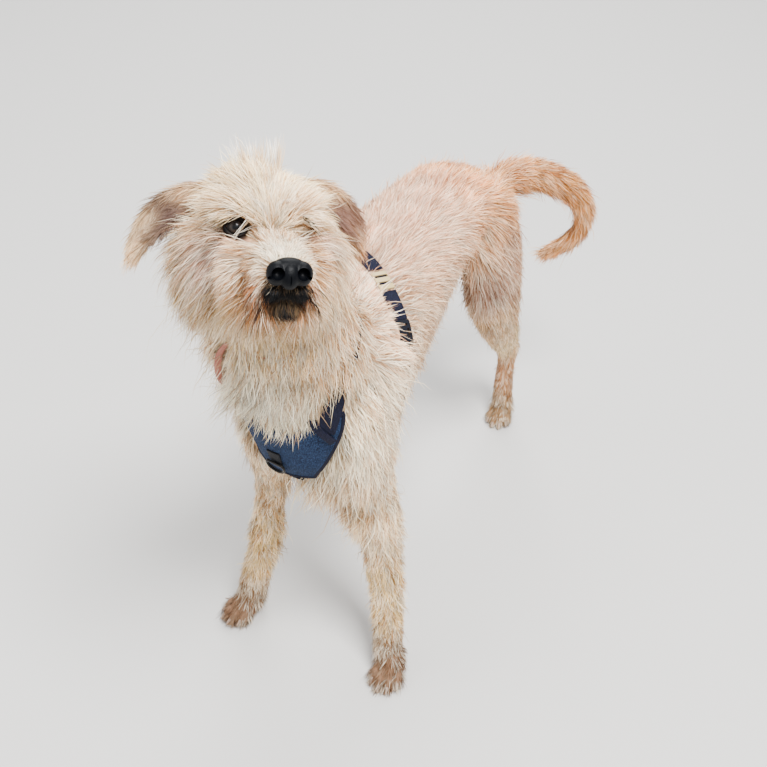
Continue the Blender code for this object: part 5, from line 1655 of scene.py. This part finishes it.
# (colour, hairs, spread at the tip, half width, points on the head), in millimetres
CREST = [(PALE_WISP if k % 2 else SAND_WISP, 24, 5, 0.34,
          ((-30 - 3 * k, 8 - 6 * k, 38), (-32 - 3 * k, 8 - 7 * k, 52),
           (-36 - 3 * k, 10 - 8 * k, 66), (-42 - 2 * k, 10 - 8.5 * k, 78 - k)))
         for k in range(6)]
WISPS = CREST + [
    (SAND_WISP, 3, 1.6, 0.22, ((14, -18, 16), (16, -25, 7), (14, -34, -4), (12, -39, -12))),
    (PALE_WISP, 2, 1.6, 0.2, ((14, -15, 4), (17, -24, 1), (16, -33, -4), (14, -42, -8))),
    (PALE_WISP, 2, 2, 0.18, ((12, -21, 18), (16, -27, 8), (15, -33, -2), (13, -36, -10))),
    (PALE_WISP, 2, 1.6, 0.24, ((-6, -50, -6), (4, -46, -10), (12, -40, -9), (15, -34, -6))),
    (SAND_WISP, 9, 4, 0.26, ((18, 1, 8), (18, 6, 20), (12, 18, 23), (14, 24, 13))),
    (PALE_WISP, 8, 4, 0.26, ((16, -2, 12), (14, 4, 25), (8, 16, 28), (8, 27, 20))),
    (PALE_WISP, 8, 4, 0.26, ((16, -10, 8), (16, -10, 20), (10, -18, 28), (4, -30, 26))),
    # These three dark bundles over the hidden left eye paint the eye's shade seen between the locks.
    (DARK_WISP, 6, 3, 0.36, ((22, 25, 13), (20, 32, 10), (16, 40, 3), (10, 45, -5))),
    (DARK_WISP, 5, 2.8, 0.34, ((21, 27, 5), (20, 33, 2), (17, 40, -4), (10, 45, -11))),
    (DARK_WISP, 3, 2.4, 0.28, ((19, 29, -2), (20, 34, -4), (18, 39, -8), (12, 43, -14))),
    (DARK_WISP, 8, 3.6, 0.38, ((80, -15, -47), (84, -22, -60), (81, -26, -73), (73, -30, -94))),
    (DARK_WISP, 6, 3.4, 0.33, ((74, -21, -37), (81, -29, -48), (79, -33, -61), (73, -33, -81))),
    (DARK_WISP, 5, 3.6, 0.3, ((64, -25, -37), (71, -34, -52), (69, -39, -69), (63, -38, -92))),
    (DARK_WISP, 8, 3.6, 0.38, ((82, 15, -43), (89, 25, -52), (87, 31, -65), (78, 34, -89))),
    (DARK_WISP, 6, 3.4, 0.33, ((76, 19, -47), (85, 29, -58), (84, 34, -71), (78, 33, -94))),
    (DARK_WISP, 5, 3.6, 0.3, ((68, 25, -37), (75, 38, -50), (71, 48, -68), (63, 50, -96)))
]
picks = np.random.default_rng(90)
paths, colours, halves = [], [], []
for colour, hairs, spread, half, points in WISPS:
    fine = smooth_rows([tuple(on_head(*mm(point))) for point in points], 2)
    t = np.linspace(0, 1, len(fine))[:, None]
    for _ in range(hairs):
        root, tip = picks.normal(0, 0.0010, 3), picks.normal(0, mm(spread), 3)
        paths.append(fine + root * (1 - t) + tip * t)
        colours.append(linear(colour) * picks.uniform(0.75, 1.15))
        halves.append(mm(half) * picks.uniform(0.7, 1.2))
paths = np.array(paths)
hits = [SKIN_TREE.find_nearest(Vector(path[0])) for path in paths]
outs = np.array([tuple(hit[1]) for hit in hits])
places = np.array([skin_map[tri_loops[hit[2]]].mean(0) for hit in hits])
wisps, triangles = ribbons("coat_wisps", paths, outs, places, np.array(colours), np.array(halves), picks)
coat.append(wisps)
print("wisps:", len(paths), "hairs,", triangles, "triangles")

# %% [markdown]
# ## Finishes
# Each finish is a Principled shader. What several of them share, such as the fine unevenness of
# skin and horn, the weave of webbing and the speckled cloth, is a node group of its own.

# %% Node groups
def add_node(tree, kind, inputs):
    """A node with its inputs set to a value each, or linked to another node's output."""
    node = tree.nodes.new("ShaderNode" + kind)
    for label, value in inputs.items():
        if isinstance(value, bpy.types.NodeSocket):
            tree.links.new(value, node.inputs[label])
        else:
            node.inputs[label].default_value = value
    return node


def new_group(name, scale):
    """An empty group with a Scale input and a Height output, and what its textures are given."""
    group = bpy.data.node_groups.new(name, "ShaderNodeTree")
    socket = group.interface.new_socket(name="Scale", in_out="INPUT", socket_type="NodeSocketFloat")
    socket.default_value = scale
    group.interface.new_socket(name="Height", in_out="OUTPUT", socket_type="NodeSocketFloat")
    enter = group.nodes.new("NodeGroupInput")
    place = group.nodes.new("ShaderNodeTexCoord")
    return group, {"Vector": place.outputs["Object"], "Scale": enter.outputs["Scale"]}


def uneven_group():
    """Fine noise as a height, from object coordinates."""
    group, given = new_group("uneven", 300.0)
    noise = add_node(group, "TexNoise", {**given, "Detail": 4.0})
    group.links.new(noise.outputs["Fac"], group.nodes.new("NodeGroupOutput").inputs["Height"])
    return group


def weave_group():
    """Crossed threads as a height, and a speckle as a mix between two thread colours."""
    group, given = new_group("weave", 700.0)
    group.interface.new_socket(name="Speckle", in_out="OUTPUT", socket_type="NodeSocketFloat")
    leave = group.nodes.new("NodeGroupOutput")
    product = group.nodes.new("ShaderNodeMath")
    product.operation = "MULTIPLY"
    for number, axis in enumerate(("X", "Z")):
        wave = add_node(group, "TexWave", {**given, "Distortion": 1.5, "Detail": 1.0})
        wave.bands_direction = axis
        group.links.new(wave.outputs["Fac"], product.inputs[number])
    group.links.new(product.outputs["Value"], leave.inputs["Height"])
    noise = add_node(group, "TexNoise", {**given, "Detail": 2.0})
    sharp = add_node(group, "MapRange", {"Value": noise.outputs["Fac"], "From Min": 0.45, "From Max": 0.62})
    group.links.new(sharp.outputs["Result"], leave.inputs["Speckle"])
    return group


def pebble_group():
    """The pebbled cells of nose leather as a height."""
    group, given = new_group("pebbles", 900.0)
    cells = add_node(group, "TexVoronoi", given)
    group.links.new(cells.outputs["Distance"], group.nodes.new("NodeGroupOutput").inputs["Height"])
    return group


UNEVEN, WEAVE, PEBBLES = uneven_group(), weave_group(), pebble_group()


# %% Materials
def finish_named(name, colour, roughness, **more):
    """A Principled material; more holds other inputs, with _ for a space."""
    material = bpy.data.materials.new(name)
    material.use_nodes = True
    shader = material.node_tree.nodes["Principled BSDF"]
    shader.inputs["Base Color"].default_value = (*linear(colour), 1.0)
    shader.inputs["Roughness"].default_value = roughness
    for label, value in more.items():
        shader.inputs[label.replace("_", " ")].default_value = value
    return material, shader


def relief(material, shader, group, scale, strength, distance):
    """Bump from a group's height; gives back the group's node."""
    tree = material.node_tree
    node = tree.nodes.new("ShaderNodeGroup")
    node.node_tree = group
    node.inputs["Scale"].default_value = scale
    height = node.outputs["Height"]
    bump = add_node(tree, "Bump", {"Strength": strength, "Distance": distance, "Height": height})
    tree.links.new(bump.outputs["Normal"], shader.inputs["Normal"])
    return node


def coloured_by(material, shader, name):
    """Base colour from the attribute of that name."""
    node = material.node_tree.nodes.new("ShaderNodeAttribute")
    node.attribute_name = name
    material.node_tree.links.new(node.outputs["Color"], shader.inputs["Base Color"])


def speckled(material, shader, weave, first, second):
    """Base colour from two thread colours, mixed by the weave's speckle."""
    mix = material.node_tree.nodes.new("ShaderNodeMix")
    mix.data_type = "RGBA"
    mix.inputs["A"].default_value = (*linear(first), 1.0)
    mix.inputs["B"].default_value = (*linear(second), 1.0)
    material.node_tree.links.new(weave.outputs["Speckle"], mix.inputs["Factor"])
    material.node_tree.links.new(mix.outputs["Result"], shader.inputs["Base Color"])


hair, shader = finish_named("rough_coat", GROUND, 0.55, Specular_IOR_Level=0.15)
coloured_by(hair, shader, "tint")

hide, shader = finish_named("hide", GROUND, 0.60, Specular_IOR_Level=0.20)
coloured_by(hide, shader, "tint")
relief(hide, shader, UNEVEN, 420.0, 0.6, 0.0010)

wet_leather, shader = finish_named("nose_leather", (4, 5, 8), 0.46, Specular_IOR_Level=0.10)
relief(wet_leather, shader, PEBBLES, 1100.0, 0.30, 0.0004)

horn, shader = finish_named("claw_horn", (176, 150, 132), 0.40)
relief(horn, shader, UNEVEN, 900.0, 0.2, 0.0003)

blue_cloth, shader = finish_named("blue_cloth", (44, 64, 96), 0.85, Specular_IOR_Level=0.15)
threads = relief(blue_cloth, shader, WEAVE, 1000.0, 0.5, 0.0004)
speckled(blue_cloth, shader, threads, (8, 18, 38), (48, 70, 106))

navy_web, shader = finish_named("navy_webbing", (26, 26, 44), 0.70, Specular_IOR_Level=0.15)
threads = relief(navy_web, shader, WEAVE, 900.0, 0.6, 0.0004)
speckled(navy_web, shader, threads, (10, 12, 28), (24, 26, 48))

black_web, shader = finish_named("black_webbing", (12, 13, 20), 0.65, Specular_IOR_Level=0.15)
relief(black_web, shader, WEAVE, 900.0, 0.5, 0.0004)

coral_web, shader = finish_named("coral_webbing", (186, 112, 92), 0.70)
threads = relief(coral_web, shader, WEAVE, 900.0, 0.4, 0.0004)
speckled(coral_web, shader, threads, (176, 100, 84), (200, 132, 110))

cream_plastic, _ = finish_named("cream_plastic", (196, 172, 118), 0.42)
black_plastic, _ = finish_named("black_plastic", (16, 18, 26), 0.38, Specular_IOR_Level=0.25)
steel, _ = finish_named("steel", (46, 44, 42), 0.36, Metallic=1.0)

eye_finish, shader = finish_named("eye", (40, 30, 24), 0.35, Coat_Weight=0.35, Coat_Roughness=0.02,
                                  Specular_IOR_Level=0.2)
nodes, links = eye_finish.node_tree.nodes, eye_finish.node_tree.links
away = nodes.new("ShaderNodeAttribute")
away.attribute_name = "from_pupil"
ramp = nodes.new("ShaderNodeValToRGB")
EYE_STOPS = ((0.00, (1, 1, 2)), (0.27, (2, 2, 3)), (0.33, (34, 29, 27)), (0.48, (52, 45, 40)),
             (0.64, (34, 28, 25)), (0.72, (6, 5, 5)), (0.82, (20, 15, 14)), (1.0, (70, 58, 54)))
while len(ramp.color_ramp.elements) < len(EYE_STOPS):
    ramp.color_ramp.elements.new(0.5)
for element, (position, colour) in zip(ramp.color_ramp.elements, EYE_STOPS):
    element.position = position
    element.color = (*linear(colour), 1.0)
links.new(away.outputs["Fac"], ramp.inputs["Fac"])
links.new(ramp.outputs["Color"], shader.inputs["Base Color"])
print("materials:", len(bpy.data.materials))

# %% Paint the skin with the same markings
UNDER_COAT = np.array((0.80, 0.70, 0.66))   # the skin against the hair that grows on it
PAD_COLOUR, PAD_HEIGHT = (52, 44, 42), 0.012
kind_of_vertex = np.zeros(len(skin_spots), np.int32)
kind_of_vertex[tri_verts.ravel()] = np.repeat(tri_kind, 3)
paint = marking(skin_spots, kind_of_vertex) * UNDER_COAT
for spot, reach in pads:
    weight = np.exp(-((skin_spots - np.array(spot))**2).sum(1) / (reach * 0.9)**2)
    weight *= (skin_spots[:, 2] < PAD_HEIGHT)
    paint = paint * (1 - weight[:, None]) + linear(PAD_COLOUR) * weight[:, None]
paint *= (1 + 0.08 * cloud(skin_spots, 0.012, 9))[:, None]
tint = np.ones((len(skin_spots), 4))
tint[:, :3] = paint
skin.data.color_attributes.new("tint", "FLOAT_COLOR", "POINT").data.foreach_set("color", tint.ravel())

# %% Give each piece its finish and its ride, and hide the frame's nodes that it replaces
WORN_FINISH = {"girth_slider": (cream_plastic, "slider_tan"), "girth_clip": (black_plastic, "clip_black"),
               "collar": (coral_web, "collar_coral"), "ring": (steel, "ring_metal"),
               "chest_panel": (blue_cloth, "harness_blue"), "back_plate": (blue_cloth, "harness_blue")}
COAT_SLOTS = {"coat_tail": "coat_tail", "coat_ear": "ear_brown"}
FLESH = [name for name in frame["nodes"]
         if name not in worn and name not in ("eye_left", "eye_right", "nose")]
dressed = [(skin, hide, "coat_sand", FLESH), (nose, wet_leather, "nose_leather", ["nose"]),
           (claws, horn, "coat_sand", [])]
dressed += [(obj, eye_finish, "eye", ["eye_" + name]) for name, obj in eyeballs.items()]
dressed += [(obj, *WORN_FINISH.get(node, (navy_web, "harness_navy")), [node]) for node, obj in worn.items()]
dressed += [(obj, black_web if obj.name == "loop" else navy_web, "harness_navy", []) for obj in extra]
dressed.append((collar_end, coral_web, "collar_coral", []))
dressed += [(obj, hair, COAT_SLOTS.get(obj.name, "coat_sand"), []) for obj in coat]
for obj, material, slot_name, nodes_replaced in dressed:
    obj.data.materials.clear()
    obj.data.materials.append(material)
    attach(obj, "root")
    if nodes_replaced:
        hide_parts(*nodes_replaced)
print("pieces:", len(dressed), "replaced nodes:", sum(len(row[3]) for row in dressed))

# %% [markdown]
# ## Floor, light and camera
# A plain pale floor, soft lamps from three sides and an even sky show the model without a
# setting. The camera stands where a grown person would, looking down at the dog.

# %% Floor
fresh()
bpy.ops.mesh.primitive_plane_add(size=14)
floor = bpy.context.object
floor.name = "floor"
floor_finish, shader = finish_named("pale_floor", (214, 212, 208), 0.9)
floor.data.materials.append(floor_finish)

# %% Lamps and sky
LAMPS = (("key", (1.1, -0.9, 3.3), 265, 1.1), ("fill", (-2.4, -1.6, 2.4), 50, 3.0),
         ("rim", (-0.8, 2.4, 3.0), 130, 2.0))
LIT_POINT = Vector((0, 0, 0.45))
for name, place, watts, size in LAMPS:
    lamp = bpy.data.lights.new(name, "AREA")
    lamp.energy = watts
    lamp.size = size
    obj = placed(name, lamp)
    obj.location = place
    obj.rotation_euler = (LIT_POINT - Vector(place)).to_track_quat("-Z", "Y").to_euler()
sky = bpy.data.worlds.new("sky")
bpy.context.scene.world = sky
sky.use_nodes = True
background = sky.node_tree.nodes["Background"]
background.inputs["Color"].default_value = (0.92, 0.95, 1.0, 1.0)
background.inputs["Strength"].default_value = 0.82

# %% Camera
CAMERA_TURN, CAMERA_DIP, CAMERA_ROLL = math.radians(23.45), math.radians(40.21), math.radians(1.84)
camera = placed("camera", bpy.data.cameras.new("camera"))
camera.data.lens = 56.2
camera.data.sensor_width = 36.0
ahead = Vector((-math.sin(CAMERA_TURN) * math.cos(CAMERA_DIP), math.cos(CAMERA_TURN) * math.cos(CAMERA_DIP),
                -math.sin(CAMERA_DIP)))
right = Vector((math.cos(CAMERA_TURN), math.sin(CAMERA_TURN), 0))
up = right.cross(ahead)
right, up = (right * math.cos(CAMERA_ROLL) + up * math.sin(CAMERA_ROLL),
             up * math.cos(CAMERA_ROLL) - right * math.sin(CAMERA_ROLL))
camera.matrix_world = (Matrix.Translation(VIEWER) @ Matrix((right, up, -ahead)).transposed().to_4x4())
bpy.context.scene.camera = camera
